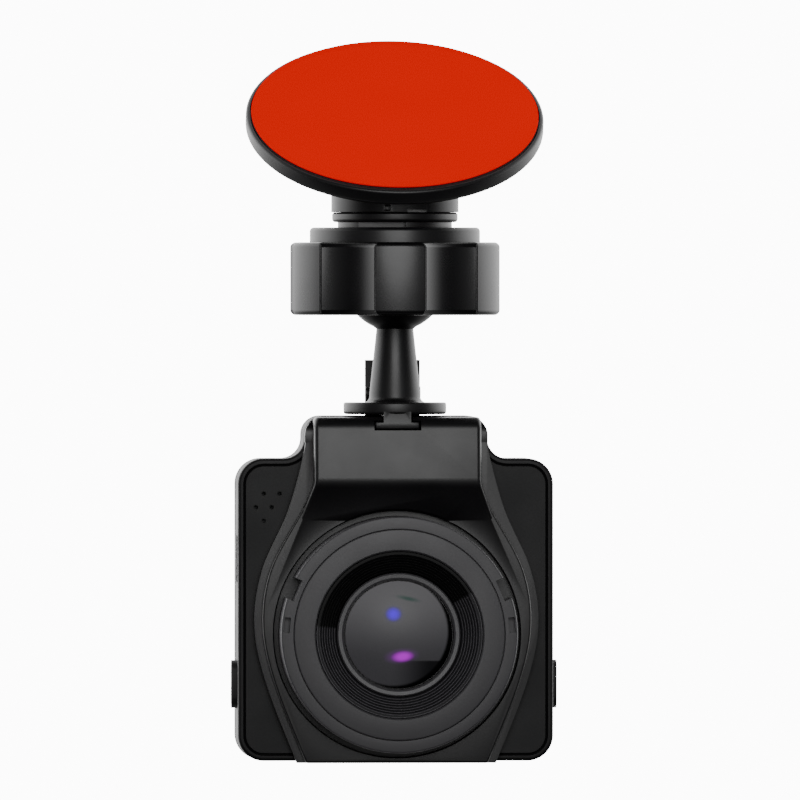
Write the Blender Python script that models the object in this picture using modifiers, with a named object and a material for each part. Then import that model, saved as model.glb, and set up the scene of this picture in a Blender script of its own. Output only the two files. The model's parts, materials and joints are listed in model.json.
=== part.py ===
"""Dash camera hanging from an adhesive disc by a ball joint with a lock nut.

Metres, +Z up. The lens looks along -Y. The origin is the centre of the adhesive face,
which is tilted forward to lie on a sloping windscreen.
"""
import math

import bpy
import bmesh
from mathutils import Matrix, Vector

MM = 0.001

# Fits
FIT = 0.25 * MM             # gap between pieces that seat on each other
BALL_FIT = 0.30 * MM        # gap on each side of a friction pad
ROUND_STEPS = 32            # sides of a large turned piece
SMALL_STEPS = 12            # sides of a small turned piece

# Adhesive mount
WINDSCREEN_TILT = 31.0      # degrees from level
DISC_RADIUS = 26.1 * MM
DISC_DEPTH = 3.5 * MM       # adhesive face to the underside of the disc
DISC_RIM_DROP = 0.45 * MM   # adhesive face to the top of the rim
PAD_RADIUS = 25.15 * MM
LINER_THICKNESS = 0.25 * MM
FOAM_THICKNESS = 0.65 * MM
BOSS_RADIUS = 11.15 * MM

# Ball joint
BALL_DROP = 29.0 * MM       # adhesive face centre to ball centre
BALL_RADIUS = 9.15 * MM
FRICTION_PAD = 0.6 * MM     # thickness of the friction pads
UPPER_PAD_ANGLE = 50.0      # degrees from the pole
LOWER_PAD_ANGLES = (78.0, 95.0)
SOCKET_ROOF = 1.05 * MM
RING_RADIUS = 11.0 * MM
RING_HEIGHT = 1.5 * MM
NECK_RADIUS = 10.0 * MM
NECK_HEIGHT = 0.9 * MM
SPIGOT_RADIUS = 7.6 * MM
SPIGOT_HEIGHT = 3.6 * MM
LUG_REACH = 1.1 * MM
LUG_HEIGHT = 1.2 * MM
LUG_HALF = 1.7 * MM
SOCKET_TWIST = 45.0         # degrees from locked to free
THREAD_RADIUS = 14.9 * MM
SOCKET_SKIRT = 4.0 * MM     # ball centre to the bottom of the threaded collar

# Lock nut
NUT_RADIUS = 18.9 * MM
NUT_LOBES = 6
NUT_LOBE_ANGLE = 27.0       # degrees of full radius on each lobe
SCALLOP_RADIUS = 13.0 * MM
NUT_ABOVE_BALL = 6.4 * MM
NUT_LIP_DROP = 6.35 * MM    # ball centre to the bottom of the nut
NUT_LIP = 1.05 * MM
NUT_EDGE = 0.7 * MM

# Stem, foot and release tab
ARM_LENGTH = 21.6 * MM      # ball centre to the top of the foot
STEM_TOP_RADIUS = 3.15 * MM
STEM_FOOT_RADIUS = 4.75 * MM
FOOT_RADIUS = 9.0 * MM
FOOT_THICKNESS = 2.1 * MM
FOOT_FLAT = 7.6 * MM        # stem axis to the flat at the back of the foot
RAIL_NECK_HALF = 2.4 * MM
RAIL_NECK_HEIGHT = 1.3 * MM
RAIL_HALF = 3.85 * MM
RAIL_HEIGHT = 1.2 * MM
RAIL_FRONT = 8.8 * MM
RAIL_BACK = 6.5 * MM
TAB_HALF = 4.8 * MM
TAB_THICKNESS = 1.6 * MM
TAB_HEIGHT = 7.4 * MM       # foot top to the top of the tab
TAB_PIVOT_BACK = 6.4 * MM
TAB_PIVOT_RISE = 1.5 * MM   # foot top to the hinge pin
TAB_HOOK = 0.75 * MM        # reach of the hook into the casing
PIN_RADIUS = 0.6 * MM
EAR_HALF = 1.4 * MM

# Camera casing
BODY_WIDTH = 55.2 * MM
BODY_HEIGHT = 52.9 * MM
BODY_CORNER = 4.5 * MM
HUMP_WIDTH = 32.1 * MM
HUMP_HEIGHT = 7.45 * MM
HUMP_CORNER = 3.3 * MM
HUMP_SWEEP = 3.5 * MM
WALL = 1.6 * MM
HUMP_ROOF = 4.3 * MM        # solid material that holds the slide rail
WING_FRONT = -3.0 * MM
SPLIT = 7.75 * MM           # back edge of the front shell
REAR_FACE = 13.0 * MM

# Front fascia
TIER_FRONT = -5.2 * MM
PANEL_FRONT = -7.2 * MM
BLOCK_FRONT = -11.0 * MM
BLOCK_HALF = 14.6 * MM
BLOCK_HEIGHT = 11.6 * MM
FASCIA_SHOULDER = 16.2 * MM
FASCIA_FOOT = 17.4 * MM
FASCIA_SIDE = 4.2 * MM      # outer tier beyond the lens bezel
TIER_STEP = 1.35 * MM       # width of the outer tier's ledge

# Lens
LENS_DROP = 30.65 * MM      # top of the wings to the lens axis
BEZEL_RADIUS = 20.65 * MM
BEZEL_WIDTH = 2.2 * MM
BEZEL_FRONT = 15.8 * MM     # heights in front of the stem axis, along the lens axis
WELL_GAP = 0.85 * MM
WELL_FLOOR = 4.9 * MM
TRIM_FRONT = 16.0 * MM
TRIM_WIDTH = 3.6 * MM
BAFFLE_STEPS = 7
BAFFLE_WIDTH = 3.3 * MM
BAFFLE_DEPTH = 2.5 * MM
BARREL_FRONT = 13.4 * MM
BARREL_LIP = 1.2 * MM
THREAD_BODY_RADIUS = 6.0 * MM
DOME_RISE = 2.0 * MM

# Inside
BOARD_THICKNESS = 1.0 * MM
BOARD_FACE = 3.6 * MM
BOARD_EDGE = 2.5 * MM       # gap from the side walls
WINDOW_HALF = 20.25 * MM
WINDOW_THICKNESS = 1.2 * MM
WINDOW_TOP_DROP = 6.6 * MM  # top of the wings to the top of the window
KEY_ROW_RISE = 7.2 * MM     # bottom of the body to the key row
KEY_WIDTH = 7.0 * MM
KEY_HEIGHT = 3.4 * MM
KEY_PITCH = 10.0 * MM
KEY_TRAVEL = 0.3 * MM
KEY_PROUD = 0.35 * MM
BUTTON_RISE = 13.4 * MM     # bottom of the body to the side buttons
BUTTON_LENGTH = 8.4 * MM
BUTTON_WIDTH = 4.0 * MM
BUTTON_Y = 2.0 * MM
BUTTON_TRAVEL = 0.4 * MM
FLANGE_REACH = 0.7 * MM     # flange beyond a key or button, inside the wall
LEFT_PROUD = 1.0 * MM
RIGHT_PROUD = 0.8 * MM
SCREW_RADIUS = 0.85 * MM
SCREW_HEAD_RADIUS = 1.75 * MM
SCREW_HEAD = 1.2 * MM
SCREW_LENGTH = 8.0 * MM
SCREW_SEAT = 3.1 * MM       # parting line to the seat of the screw heads
POST_RADIUS = 2.3 * MM
CARD_WIDTH = 11.0 * MM
CARD_LENGTH = 15.0 * MM
CARD_THICKNESS = 0.8 * MM
USB_WIDTH = 7.7 * MM
USB_HEIGHT = 3.7 * MM
USB_LENGTH = 8.6 * MM
USB_DROP = 17.6 * MM        # top of the wings to the middle of the socket
CARD_DROP = 15.0 * MM       # top of the wings to the middle of the card
METAL_SHEET = 0.35 * MM     # wall of the card and USB sockets
SOUND_HOLE_RADIUS = 0.42 * MM
SOUND_PITCH = 2.75 * MM

# Places that follow from the sizes
BALL_Z = -BALL_DROP
PAD_INNER = BALL_RADIUS + BALL_FIT
PAD_OUTER = PAD_INNER + FRICTION_PAD
CAVITY_RADIUS = PAD_OUTER + BALL_FIT
RING_TOP = BALL_Z + CAVITY_RADIUS + SOCKET_ROOF
RING_BOTTOM = RING_TOP - RING_HEIGHT
COLLAR_TOP = RING_BOTTOM - NECK_HEIGHT
BOSS_BOTTOM = RING_TOP + FIT
NUT_TOP = BALL_Z + NUT_ABOVE_BALL
NUT_BOTTOM = BALL_Z - NUT_LIP_DROP
FOOT_TOP = BALL_Z - ARM_LENGTH
FOOT_BOTTOM = FOOT_TOP - FOOT_THICKNESS
HUMP_TOP = FOOT_BOTTOM - FIT
WING_TOP = HUMP_TOP - HUMP_HEIGHT
BODY_BOTTOM = WING_TOP - BODY_HEIGHT
BODY_HALF = BODY_WIDTH / 2
INNER_HALF = BODY_HALF - WALL
HUMP_HALF = HUMP_WIDTH / 2
LENS_Z = WING_TOP - LENS_DROP
COVER_FRONT = SPLIT + FIT
COVER_INNER = REAR_FACE - WALL
FASCIA_BACK = WING_FRONT - FIT
RAIL_TOP = FOOT_BOTTOM - RAIL_NECK_HEIGHT
RAIL_BOTTOM = RAIL_TOP - RAIL_HEIGHT
BUTTON_Z = BODY_BOTTOM + BUTTON_RISE
KEY_Z = BODY_BOTTOM + KEY_ROW_RISE
BOARD_BACK = BOARD_FACE + BOARD_THICKNESS
BOARD_HALF = INNER_HALF - BOARD_EDGE
BOARD_TOP = WING_TOP - WALL - 4.6 * MM
BOARD_BOTTOM = BODY_BOTTOM + WALL + 5.2 * MM
WINDOW_TOP = WING_TOP - WINDOW_TOP_DROP
USB_Z = WING_TOP - USB_DROP
USB_BACK = BOARD_FACE - FIT
CARD_Z = WING_TOP - CARD_DROP
CARD_Y = BOARD_FACE - METAL_SHEET - CARD_THICKNESS / 2 - 2 * FIT
HEAD_SEAT = COVER_FRONT + SCREW_SEAT
WINDOW_BOTTOM = KEY_Z + KEY_HEIGHT / 2 + 3.5 * MM
TRIM_OUTER = BEZEL_RADIUS - BEZEL_WIDTH - FIT
TRIM_INNER = TRIM_OUTER - TRIM_WIDTH
BARREL_HEAD_RADIUS = TRIM_INNER - BAFFLE_WIDTH - 2 * FIT
SCREW_PLACES = {
    "casing_screw_upper_left": (-HUMP_HALF + 3.2 * MM, WING_TOP + 1.6 * MM),
    "casing_screw_upper_right": (HUMP_HALF - 3.2 * MM, WING_TOP + 1.6 * MM),
    "casing_screw_lower_left": (-INNER_HALF + 2.1 * MM, BODY_BOTTOM + WALL + 2.1 * MM),
    "casing_screw_lower_right": (INNER_HALF - 2.1 * MM, BODY_BOTTOM + WALL + 2.1 * MM),
}


# ---------------------------------------------------------------- helpers
for old in list(bpy.data.objects):
    bpy.data.objects.remove(old, do_unlink=True)


def new_collection(name):
    made = bpy.data.collections.new(name)
    bpy.context.scene.collection.children.link(made)
    return made


PARTS = new_collection("dash_camera")
CUTTERS = new_collection("cutters")


def material(name, colour, roughness, metallic=0.0):
    made = bpy.data.materials.new(name)
    made.use_nodes = True
    shader = made.node_tree.nodes["Principled BSDF"]
    shader.inputs["Base Color"].default_value = (*colour, 1.0)
    shader.inputs["Roughness"].default_value = roughness
    shader.inputs["Metallic"].default_value = metallic
    return made


def add_object(name, data, collection=PARTS):
    obj = bpy.data.objects.new(name, data)
    collection.objects.link(obj)
    return obj


def as_cutter(obj):
    """Move a helper shape to the cutters' collection."""
    PARTS.objects.unlink(obj)
    CUTTERS.objects.link(obj)
    obj.hide_render = True
    obj.display_type = 'WIRE'
    return obj


def combine(target, operation, *shapes):
    for shape in shapes:
        as_cutter(shape)
        step = target.modifiers.new(operation.lower() + "_" + shape.name, 'BOOLEAN')
        step.operation = operation
        step.solver = 'EXACT'
        step.object = shape
    return target


def cut(target, *shapes):
    return combine(target, 'DIFFERENCE', *shapes)


def join(target, *shapes):
    return combine(target, 'UNION', *shapes)


def bevel(obj, width, segments=2, angle=40.0):
    step = obj.modifiers.new("bevel", 'BEVEL')
    step.width = width
    step.segments = segments
    step.limit_method = 'ANGLE'
    step.angle_limit = math.radians(angle)
    return obj


def freeze(obj):
    """Apply an object's modifiers to a mesh of its own."""
    depsgraph = bpy.context.evaluated_depsgraph_get()
    mesh = bpy.data.meshes.new_from_object(obj.evaluated_get(depsgraph))
    obj.modifiers.clear()
    obj.data = mesh
    return obj


def box(name, low, high):
    """A block between two corners, placed by its centre."""
    low, high = Vector(low), Vector(high)
    shape = bmesh.new()
    bmesh.ops.create_cube(shape, size=1.0, matrix=Matrix.Diagonal((*(high - low), 1.0)))
    mesh = bpy.data.meshes.new(name)
    shape.to_mesh(mesh)
    shape.free()
    obj = add_object(name, mesh)
    obj.location = (low + high) / 2
    return obj


def turned(name, profile, steps=ROUND_STEPS, closed=False, forward=False, centre=(0.0, 0.0, 0.0)):
    """Turn a profile of (radius, height) points; heights run up, or forward along -Y."""
    mesh = bpy.data.meshes.new(name)
    count = len(profile)
    edges = [(i, i + 1) for i in range(count - 1)]
    if closed:
        edges.append((count - 1, 0))
    mesh.from_pydata([(radius, 0.0, height) for radius, height in profile], edges, [])
    obj = add_object(name, mesh)
    obj.location = centre
    if forward:
        obj.rotation_euler.x = math.radians(90)
    turn = obj.modifiers.new("turn", 'SCREW')
    turn.steps = steps
    turn.render_steps = steps
    turn.use_merge_vertices = True
    turn.merge_threshold = 0.000001
    return obj


def disc(name, radius, low, high, **place):
    return turned(name, [(0.0, high), (radius, high), (radius, low), (0.0, low)], **place)


def prism(name, outline, low, high, upright=True):
    """Extrude an outline along Y (points are x, z) or along Z (points are x, y)."""
    curve = bpy.data.curves.new(name, 'CURVE')
    curve.dimensions = '2D'
    curve.fill_mode = 'BOTH'
    curve.extrude = (high - low) / 2
    spline = curve.splines.new('POLY')
    spline.points.add(len(outline) - 1)
    for point, (across, along) in zip(spline.points, outline):
        point.co = (across, along, 0.0, 1.0)
    spline.use_cyclic_u = True
    flat = add_object(name + "_outline", curve)
    if upright:
        flat.location.y = (low + high) / 2
        flat.rotation_euler.x = math.radians(90)
    else:
        flat.location.z = (low + high) / 2
    bpy.context.view_layer.update()
    depsgraph = bpy.context.evaluated_depsgraph_get()
    mesh = bpy.data.meshes.new_from_object(flat.evaluated_get(depsgraph))
    shape = bmesh.new()
    shape.from_mesh(mesh)
    bmesh.ops.remove_doubles(shape, verts=shape.verts, dist=0.000001)
    bmesh.ops.recalc_face_normals(shape, faces=shape.faces)
    shape.to_mesh(mesh)
    shape.free()
    obj = add_object(name, mesh)
    obj.matrix_world = flat.matrix_world
    bpy.data.objects.remove(flat, do_unlink=True)
    return obj


def arc(centre, radius, start, end, steps):
    """Points along an arc; angles in degrees, anticlockwise when end is the larger."""
    points = []
    for i in range(steps + 1):
        angle = math.radians(start + (end - start) * i / steps)
        points.append((centre[0] + radius * math.cos(angle), centre[1] + radius * math.sin(angle)))
    return points


def smooth_through(knots, steps):
    """Points on a Catmull-Rom curve through the knots."""
    ends = [knots[0]] + list(knots) + [knots[-1]]
    points = []
    for i in range(1, len(ends) - 2):
        before, start, end, after = (Vector(k) for k in ends[i - 1:i + 3])
        for j in range(steps):
            t = j / steps
            point = 0.5 * (2 * start + (end - before) * t
                           + (2 * before - 5 * start + 4 * end - after) * t ** 2
                           + (3 * start - before - 3 * end + after) * t ** 3)
            points.append(tuple(point))
    points.append(tuple(knots[-1]))
    return points


def mirrored(right_side):
    """Close a right-hand outline, listed from bottom to top, with its mirror image."""
    return right_side + [(-x, z) for x, z in reversed(right_side)]


def rounded_rectangle(half_width, half_height, radius, centre=(0.0, 0.0), steps=4):
    points = []
    for quarter, (sx, sz) in enumerate(((1, -1), (1, 1), (-1, 1), (-1, -1))):
        corner = (centre[0] + sx * (half_width - radius), centre[1] + sz * (half_height - radius))
        points += arc(corner, radius, -90 + 90 * quarter, 90 * quarter, steps)
    return points


def axis_empty(name, place, parent=None):
    """An empty on a joint's axis that carries the pieces that move with it."""
    empty = bpy.data.objects.new(name, None)
    PARTS.objects.link(empty)
    empty.empty_display_size = 3 * MM
    empty.location = place
    if parent:
        hang(empty, parent)
    return empty


def hang(obj, parent):
    bpy.context.view_layer.update()
    obj.parent = parent
    obj.matrix_parent_inverse = parent.matrix_world.inverted()


def finish(obj, surface, parent=None):
    """Give a piece its material, smooth shading and the empty that it moves with."""
    obj.data.materials.append(surface)
    if obj.data.polygons:
        obj.data.shade_smooth()
        obj.data.set_sharp_from_angle(angle=math.radians(35))
    if parent:
        hang(obj, parent)
    return obj


SATIN_BLACK = material("satin_black_moulding", (0.012, 0.012, 0.013), 0.42)
MATT_BLACK = material("matt_black_moulding", (0.006, 0.006, 0.007), 0.70)
GREY_TRIM = material("dark_grey_trim", (0.030, 0.030, 0.032), 0.45)
RUBBER = material("friction_rubber", (0.02, 0.02, 0.02), 0.85)
LINER_RED = material("red_release_liner", (0.90, 0.0, 0.0), 0.45)
FOAM_GREY = material("acrylic_foam", (0.05, 0.05, 0.05), 0.90)
LENS_GLASS = material("coated_lens_glass", (0.10, 0.10, 0.13), 0.03)
FILTER_GLASS = material("infrared_filter_glass", (0.25, 0.55, 0.60), 0.05)
STEEL = material("zinc_plated_steel", (0.55, 0.56, 0.58), 0.30, 1.0)
BARREL_METAL = material("black_anodised_aluminium", (0.05, 0.05, 0.055), 0.35, 1.0)
BOARD_GREEN = material("green_circuit_board", (0.02, 0.16, 0.06), 0.55)
CHIP_BLACK = material("chip_epoxy", (0.015, 0.015, 0.018), 0.60)
CELL_FOIL = material("battery_foil", (0.60, 0.62, 0.64), 0.40, 0.8)
SCREEN_BLACK = material("display_glass", (0.01, 0.01, 0.012), 0.08)
CARD_BLACK = material("card_plastic", (0.02, 0.02, 0.025), 0.50)


# ---------------------------------------------------------------- joint axes
mount_empty = axis_empty("mount_axis", (0, 0, 0))
socket_empty = axis_empty("socket_axis", (0, 0, RING_TOP), mount_empty)
nut_empty = axis_empty("lock_nut_axis", (0, 0, BALL_Z), socket_empty)
tilt_empty = axis_empty("ball_tilt_axis", (0, 0, BALL_Z), socket_empty)
lean_empty = axis_empty("ball_lean_axis", (0, 0, BALL_Z), tilt_empty)
camera_empty = axis_empty("camera_axis", (0, 0, BALL_Z), lean_empty)
TAB_PIVOT = (0, TAB_PIVOT_BACK, FOOT_TOP + TAB_PIVOT_RISE)
tab_empty = axis_empty("release_tab_axis", TAB_PIVOT, camera_empty)


# ---------------------------------------------------------------- adhesive mount
def build_mount():
    tilt = math.radians(WINDSCREEN_TILT)
    liner = disc("release_liner", PAD_RADIUS, -LINER_THICKNESS, 0.0)
    foam_top = -LINER_THICKNESS - FIT
    foam_bottom = foam_top - FOAM_THICKNESS
    foam = disc("adhesive_foam", PAD_RADIUS, foam_bottom, foam_top)
    floor = foam_bottom - FIT
    recess = PAD_RADIUS + FIT
    edge = 0.35 * MM
    profile = [(0.0, floor), (recess, floor), (recess, -DISC_RIM_DROP),
               (DISC_RADIUS - edge, -DISC_RIM_DROP), (DISC_RADIUS, -DISC_RIM_DROP - edge),
               (DISC_RADIUS, -DISC_DEPTH + 3 * edge), (DISC_RADIUS - 2 * edge, -DISC_DEPTH),
               (0.0, -DISC_DEPTH)]
    plate = turned("mount_disc", profile)
    for piece in (liner, foam, plate):
        piece.rotation_euler.x = tilt

    # The boss stands upright under the tilted disc: its top follows the disc's slope.
    sink = (DISC_DEPTH - floor) / 2
    boss_mesh = bpy.data.meshes.new("boss")
    shape = bmesh.new()
    bmesh.ops.create_cone(shape, cap_ends=True, segments=ROUND_STEPS, radius1=BOSS_RADIUS,
                          radius2=BOSS_RADIUS, depth=1.0)
    for vert in shape.verts:
        if vert.co.z > 0:
            vert.co.z = (-sink + math.sin(tilt) * vert.co.y) / math.cos(tilt)
        else:
            vert.co.z = BOSS_BOTTOM
    shape.to_mesh(boss_mesh)
    shape.free()
    boss = add_object("boss", boss_mesh)
    join(plate, boss)

    # Bore for the socket's spigot, with the groove that its lugs turn in.
    bore = SPIGOT_RADIUS + FIT
    groove = SPIGOT_RADIUS + LUG_REACH + FIT
    spigot_top = RING_TOP + SPIGOT_HEIGHT
    lug_bottom = spigot_top - LUG_HEIGHT - 2 * FIT
    bore_cut = turned("spigot_bore", [
        (0.0, spigot_top + FIT), (groove, spigot_top + FIT), (groove, lug_bottom),
        (bore, lug_bottom), (bore, BOSS_BOTTOM - 1 * MM), (0.0, BOSS_BOTTOM - 1 * MM)])
    entry_half = LUG_HALF + FIT
    entry_reach = groove + 0.1 * MM
    entry = box("lug_entry", (-entry_half, -entry_reach, BOSS_BOTTOM - 1 * MM),
                (entry_half, entry_reach, lug_bottom + 0.2 * MM))
    entry.rotation_euler.z = math.radians(SOCKET_TWIST)
    mark = box("lock_mark", (1.6 * MM, -BOSS_RADIUS - 1 * MM, BOSS_BOTTOM - 1 * MM),
               (5.3 * MM, -BOSS_RADIUS + 1.2 * MM, BOSS_BOTTOM + 0.45 * MM))
    cut(plate, bore_cut, entry, mark)
    bump = box("index_bump", (-2.5 * MM, -BOSS_RADIUS - 0.35 * MM, BOSS_BOTTOM + 0.2 * MM),
               (-1.3 * MM, -BOSS_RADIUS + 1.0 * MM, BOSS_BOTTOM + 1.3 * MM))
    join(plate, bump)
    finish(liner, LINER_RED, mount_empty)
    finish(foam, FOAM_GREY, mount_empty)
    finish(plate, SATIN_BLACK, mount_empty)


# ---------------------------------------------------------------- ball joint
def ball_arc(radius, start, end, steps):
    """Profile points on a sphere about the ball's centre; angles from the upper pole."""
    points = []
    for i in range(steps + 1):
        angle = math.radians(start + (end - start) * i / steps)
        points.append((abs(radius * math.sin(angle)), BALL_Z + radius * math.cos(angle)))
    return points


def build_socket():
    skirt = BALL_Z - SOCKET_SKIRT
    skirt_angle = math.degrees(math.acos(-SOCKET_SKIRT / CAVITY_RADIUS))
    spigot_top = RING_TOP + SPIGOT_HEIGHT
    chamfer = 0.5 * MM
    outside = [(0.0, spigot_top), (SPIGOT_RADIUS, spigot_top), (SPIGOT_RADIUS, RING_TOP),
               (RING_RADIUS, RING_TOP), (RING_RADIUS, RING_BOTTOM + chamfer),
               (RING_RADIUS - chamfer, RING_BOTTOM), (NECK_RADIUS, RING_BOTTOM),
               (NECK_RADIUS, COLLAR_TOP), (THREAD_RADIUS - chamfer, COLLAR_TOP),
               (THREAD_RADIUS, COLLAR_TOP - chamfer), (THREAD_RADIUS, skirt)]
    inside = ball_arc(CAVITY_RADIUS, skirt_angle, 0.0, 8)
    socket = turned("ball_socket", outside + inside)
    reach = SPIGOT_RADIUS + LUG_REACH
    lug = box("socket_lug", (-LUG_HALF, -reach, spigot_top - LUG_HEIGHT), (LUG_HALF, reach, spigot_top))
    window = box("neck_window", (-NECK_RADIUS - 2 * MM, -NECK_RADIUS - 2 * MM, COLLAR_TOP),
                 (1.4 * MM, -NECK_RADIUS + 2.6 * MM, RING_BOTTOM))
    join(socket, lug)
    cut(socket, window)
    finish(socket, SATIN_BLACK, socket_empty)

    upper = ball_arc(PAD_OUTER, 0.0, UPPER_PAD_ANGLE, 4)
    upper += ball_arc(PAD_INNER, UPPER_PAD_ANGLE, 0.0, 4)
    finish(turned("upper_friction_pad", upper), RUBBER, tilt_empty)
    start, end = LOWER_PAD_ANGLES
    lower = ball_arc(PAD_OUTER, start, end, 2) + ball_arc(PAD_INNER, end, start, 2)
    finish(turned("lower_friction_pad", lower, closed=True), RUBBER, lean_empty)


def nut_outline():
    """Six convex lobes with a concave scallop between each pair."""
    points = []
    pitch = 360.0 / NUT_LOBES
    gap_half = math.radians((pitch - NUT_LOBE_ANGLE) / 2)
    chord_half = NUT_RADIUS * math.sin(gap_half)
    swing = math.degrees(math.asin(chord_half / SCALLOP_RADIUS))
    scallop_centre = NUT_RADIUS * math.cos(gap_half)
    scallop_centre += math.sqrt(SCALLOP_RADIUS ** 2 - chord_half ** 2)
    for lobe in range(NUT_LOBES):
        middle = -90.0 + lobe * pitch
        points += arc((0, 0), NUT_RADIUS, middle - NUT_LOBE_ANGLE / 2, middle + NUT_LOBE_ANGLE / 2, 4)
        valley = middle + pitch / 2
        centre = (scallop_centre * math.cos(math.radians(valley)),
                  scallop_centre * math.sin(math.radians(valley)))
        points += arc(centre, SCALLOP_RADIUS, valley + 180 + swing, valley + 180 - swing, 6)[1:-1]
    return points


def build_nut():
    nut = prism("lock_nut", nut_outline(), NUT_BOTTOM, NUT_TOP, upright=False)
    bevel(nut, NUT_EDGE, 1, angle=60)
    bore = THREAD_RADIUS + FIT
    shoulder = BALL_Z - SOCKET_SKIRT - 0.35 * MM
    lip_top = NUT_BOTTOM + NUT_LIP
    sphere_start = math.degrees(math.acos((shoulder - BALL_Z) / CAVITY_RADIUS))
    sphere_end = math.degrees(math.acos((lip_top - BALL_Z) / CAVITY_RADIUS))
    lip_start = math.degrees(math.acos((lip_top - BALL_Z) / PAD_INNER))
    lip_end = math.degrees(math.acos((NUT_BOTTOM - BALL_Z) / PAD_INNER))
    last = ball_arc(PAD_INNER, lip_start, lip_end, 2)
    profile = ([(0.0, NUT_TOP + 1 * MM), (bore, NUT_TOP + 1 * MM), (bore, shoulder)]
               + ball_arc(CAVITY_RADIUS, sphere_start, sphere_end, 3) + last
               + [(last[-1][0], NUT_BOTTOM - 1 * MM), (0.0, NUT_BOTTOM - 1 * MM)])
    cut(nut, turned("nut_bore", profile))
    finish(nut, SATIN_BLACK, nut_empty)


# ---------------------------------------------------------------- stem, foot and release tab
def build_arm():
    neck_angle = 180.0 - math.degrees(math.asin(STEM_TOP_RADIUS / BALL_RADIUS))
    flare = 1.2 * MM
    profile = ball_arc(BALL_RADIUS, 0.0, neck_angle, 12)
    profile += [(STEM_FOOT_RADIUS - 0.25 * MM, FOOT_TOP + flare),
                (STEM_FOOT_RADIUS, FOOT_TOP), (FOOT_RADIUS, FOOT_TOP),
                (FOOT_RADIUS, FOOT_BOTTOM), (0.0, FOOT_BOTTOM)]
    arm = turned("ball_stem", profile)
    ear = box("tab_ear", (-EAR_HALF, 3.0 * MM, FOOT_TOP - 0.5 * MM),
              (EAR_HALF, TAB_PIVOT_BACK + 1.2 * MM, TAB_PIVOT[2] + 1.4 * MM))
    neck = box("rail_neck", (-RAIL_NECK_HALF, -RAIL_FRONT, RAIL_TOP - 0.4 * MM),
               (RAIL_NECK_HALF, RAIL_BACK, FOOT_BOTTOM + 0.5 * MM))
    head = box("rail_head", (-RAIL_HALF, -RAIL_FRONT, RAIL_BOTTOM), (RAIL_HALF, RAIL_BACK, RAIL_TOP))
    join(arm, ear, neck, head)
    back = box("foot_flat", (-FOOT_RADIUS, FOOT_FLAT, FOOT_BOTTOM - 1 * MM),
               (FOOT_RADIUS, FOOT_RADIUS + 2 * MM, FOOT_TOP + 0.1 * MM))
    bore = disc("ear_bore", PIN_RADIUS + FIT, -2 * EAR_HALF, 2 * EAR_HALF, steps=SMALL_STEPS,
                centre=TAB_PIVOT)
    bore.rotation_euler.y = math.radians(90)
    cut(arm, back, bore)
    finish(arm, SATIN_BLACK, camera_empty)

    # An L-shaped lever: a knuckle on the pin, an arm to the rear, the hook and the finger plate.
    pivot_z = TAB_PIVOT[2]
    plate_front = FOOT_FLAT + FIT
    plate_back = plate_front + TAB_THICKNESS
    arm_bottom = FOOT_TOP + FIT
    hook_bottom = HUMP_TOP - TAB_HOOK
    knuckle = 1.25 * MM
    side = arc((TAB_PIVOT_BACK, pivot_z), knuckle, 90, 270, 6)
    side += [(plate_front, arm_bottom), (plate_front, hook_bottom), (plate_back, hook_bottom),
             (plate_back, FOOT_TOP + TAB_HEIGHT), (plate_front, FOOT_TOP + TAB_HEIGHT),
             (plate_front, pivot_z + knuckle)]
    tab = prism("release_tab", side, -TAB_HALF, TAB_HALF, upright=False)
    tab.matrix_world = Matrix(((0, 0, 1, 0), (1, 0, 0, 0), (0, 1, 0, 0), (0, 0, 0, 1)))
    slot = box("ear_slot", (-EAR_HALF - FIT, 0.0, FOOT_TOP - 1 * MM),
               (EAR_HALF + FIT, plate_front + 0.5 * MM, pivot_z + 2.4 * MM))
    pin_bore = disc("tab_bore", PIN_RADIUS + FIT, -8 * MM, 8 * MM, steps=SMALL_STEPS, centre=TAB_PIVOT)
    pin_bore.rotation_euler.y = math.radians(90)
    cut(tab, slot, pin_bore)
    finish(tab, MATT_BLACK, tab_empty)
    pin = disc("tab_pin", PIN_RADIUS, -TAB_HALF + 0.3 * MM, TAB_HALF - 0.3 * MM, steps=SMALL_STEPS,
               centre=TAB_PIVOT)
    pin.rotation_euler.y = math.radians(90)
    finish(pin, STEEL, camera_empty)


# ---------------------------------------------------------------- camera casing
def casing_outline(inset=0.0, roof=None):
    """Square casing with rounded corners and a hump that sweeps out of its top edge."""
    half = BODY_HALF - inset
    low = BODY_BOTTOM + inset
    top = WING_TOP - inset
    hump_half = HUMP_HALF - inset
    hump_top = HUMP_TOP - inset if roof is None else roof
    corner = BODY_CORNER - inset
    sweep = min(HUMP_SWEEP + inset, hump_top - top - 0.1 * MM)
    round_top = min(HUMP_CORNER - inset, hump_top - top - sweep)
    right = arc((half - corner, low + corner), corner, -90, 0, 4)
    right += arc((half - corner, top - corner), corner, 0, 90, 4)
    right += arc((hump_half + sweep, top + sweep), sweep, 270, 180, 3)
    if round_top > 0.2 * MM:
        right += arc((hump_half - round_top, hump_top - round_top), round_top, 0, 90, 3)
    else:
        right += [(hump_half, hump_top)]
    return mirrored(right)


def rail_slot(name, front):
    """Cutter for the T-shaped slot that the foot's rail slides in."""
    neck = box(name + "_neck", (-RAIL_NECK_HALF - FIT, front, RAIL_TOP - 0.1 * MM),
               (RAIL_NECK_HALF + FIT, RAIL_BACK + FIT, HUMP_TOP + 1 * MM))
    head = box(name + "_head", (-RAIL_HALF - FIT, front, RAIL_BOTTOM - FIT),
               (RAIL_HALF + FIT, RAIL_BACK + FIT, RAIL_TOP + FIT))
    return neck, head


def split_block(name, front, back):
    """Cutter that trims a bevelled half of the casing flat at its parting line."""
    return box(name, (-BODY_WIDTH, front, BODY_BOTTOM - WALL), (BODY_WIDTH, back, HUMP_TOP + WALL))


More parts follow.
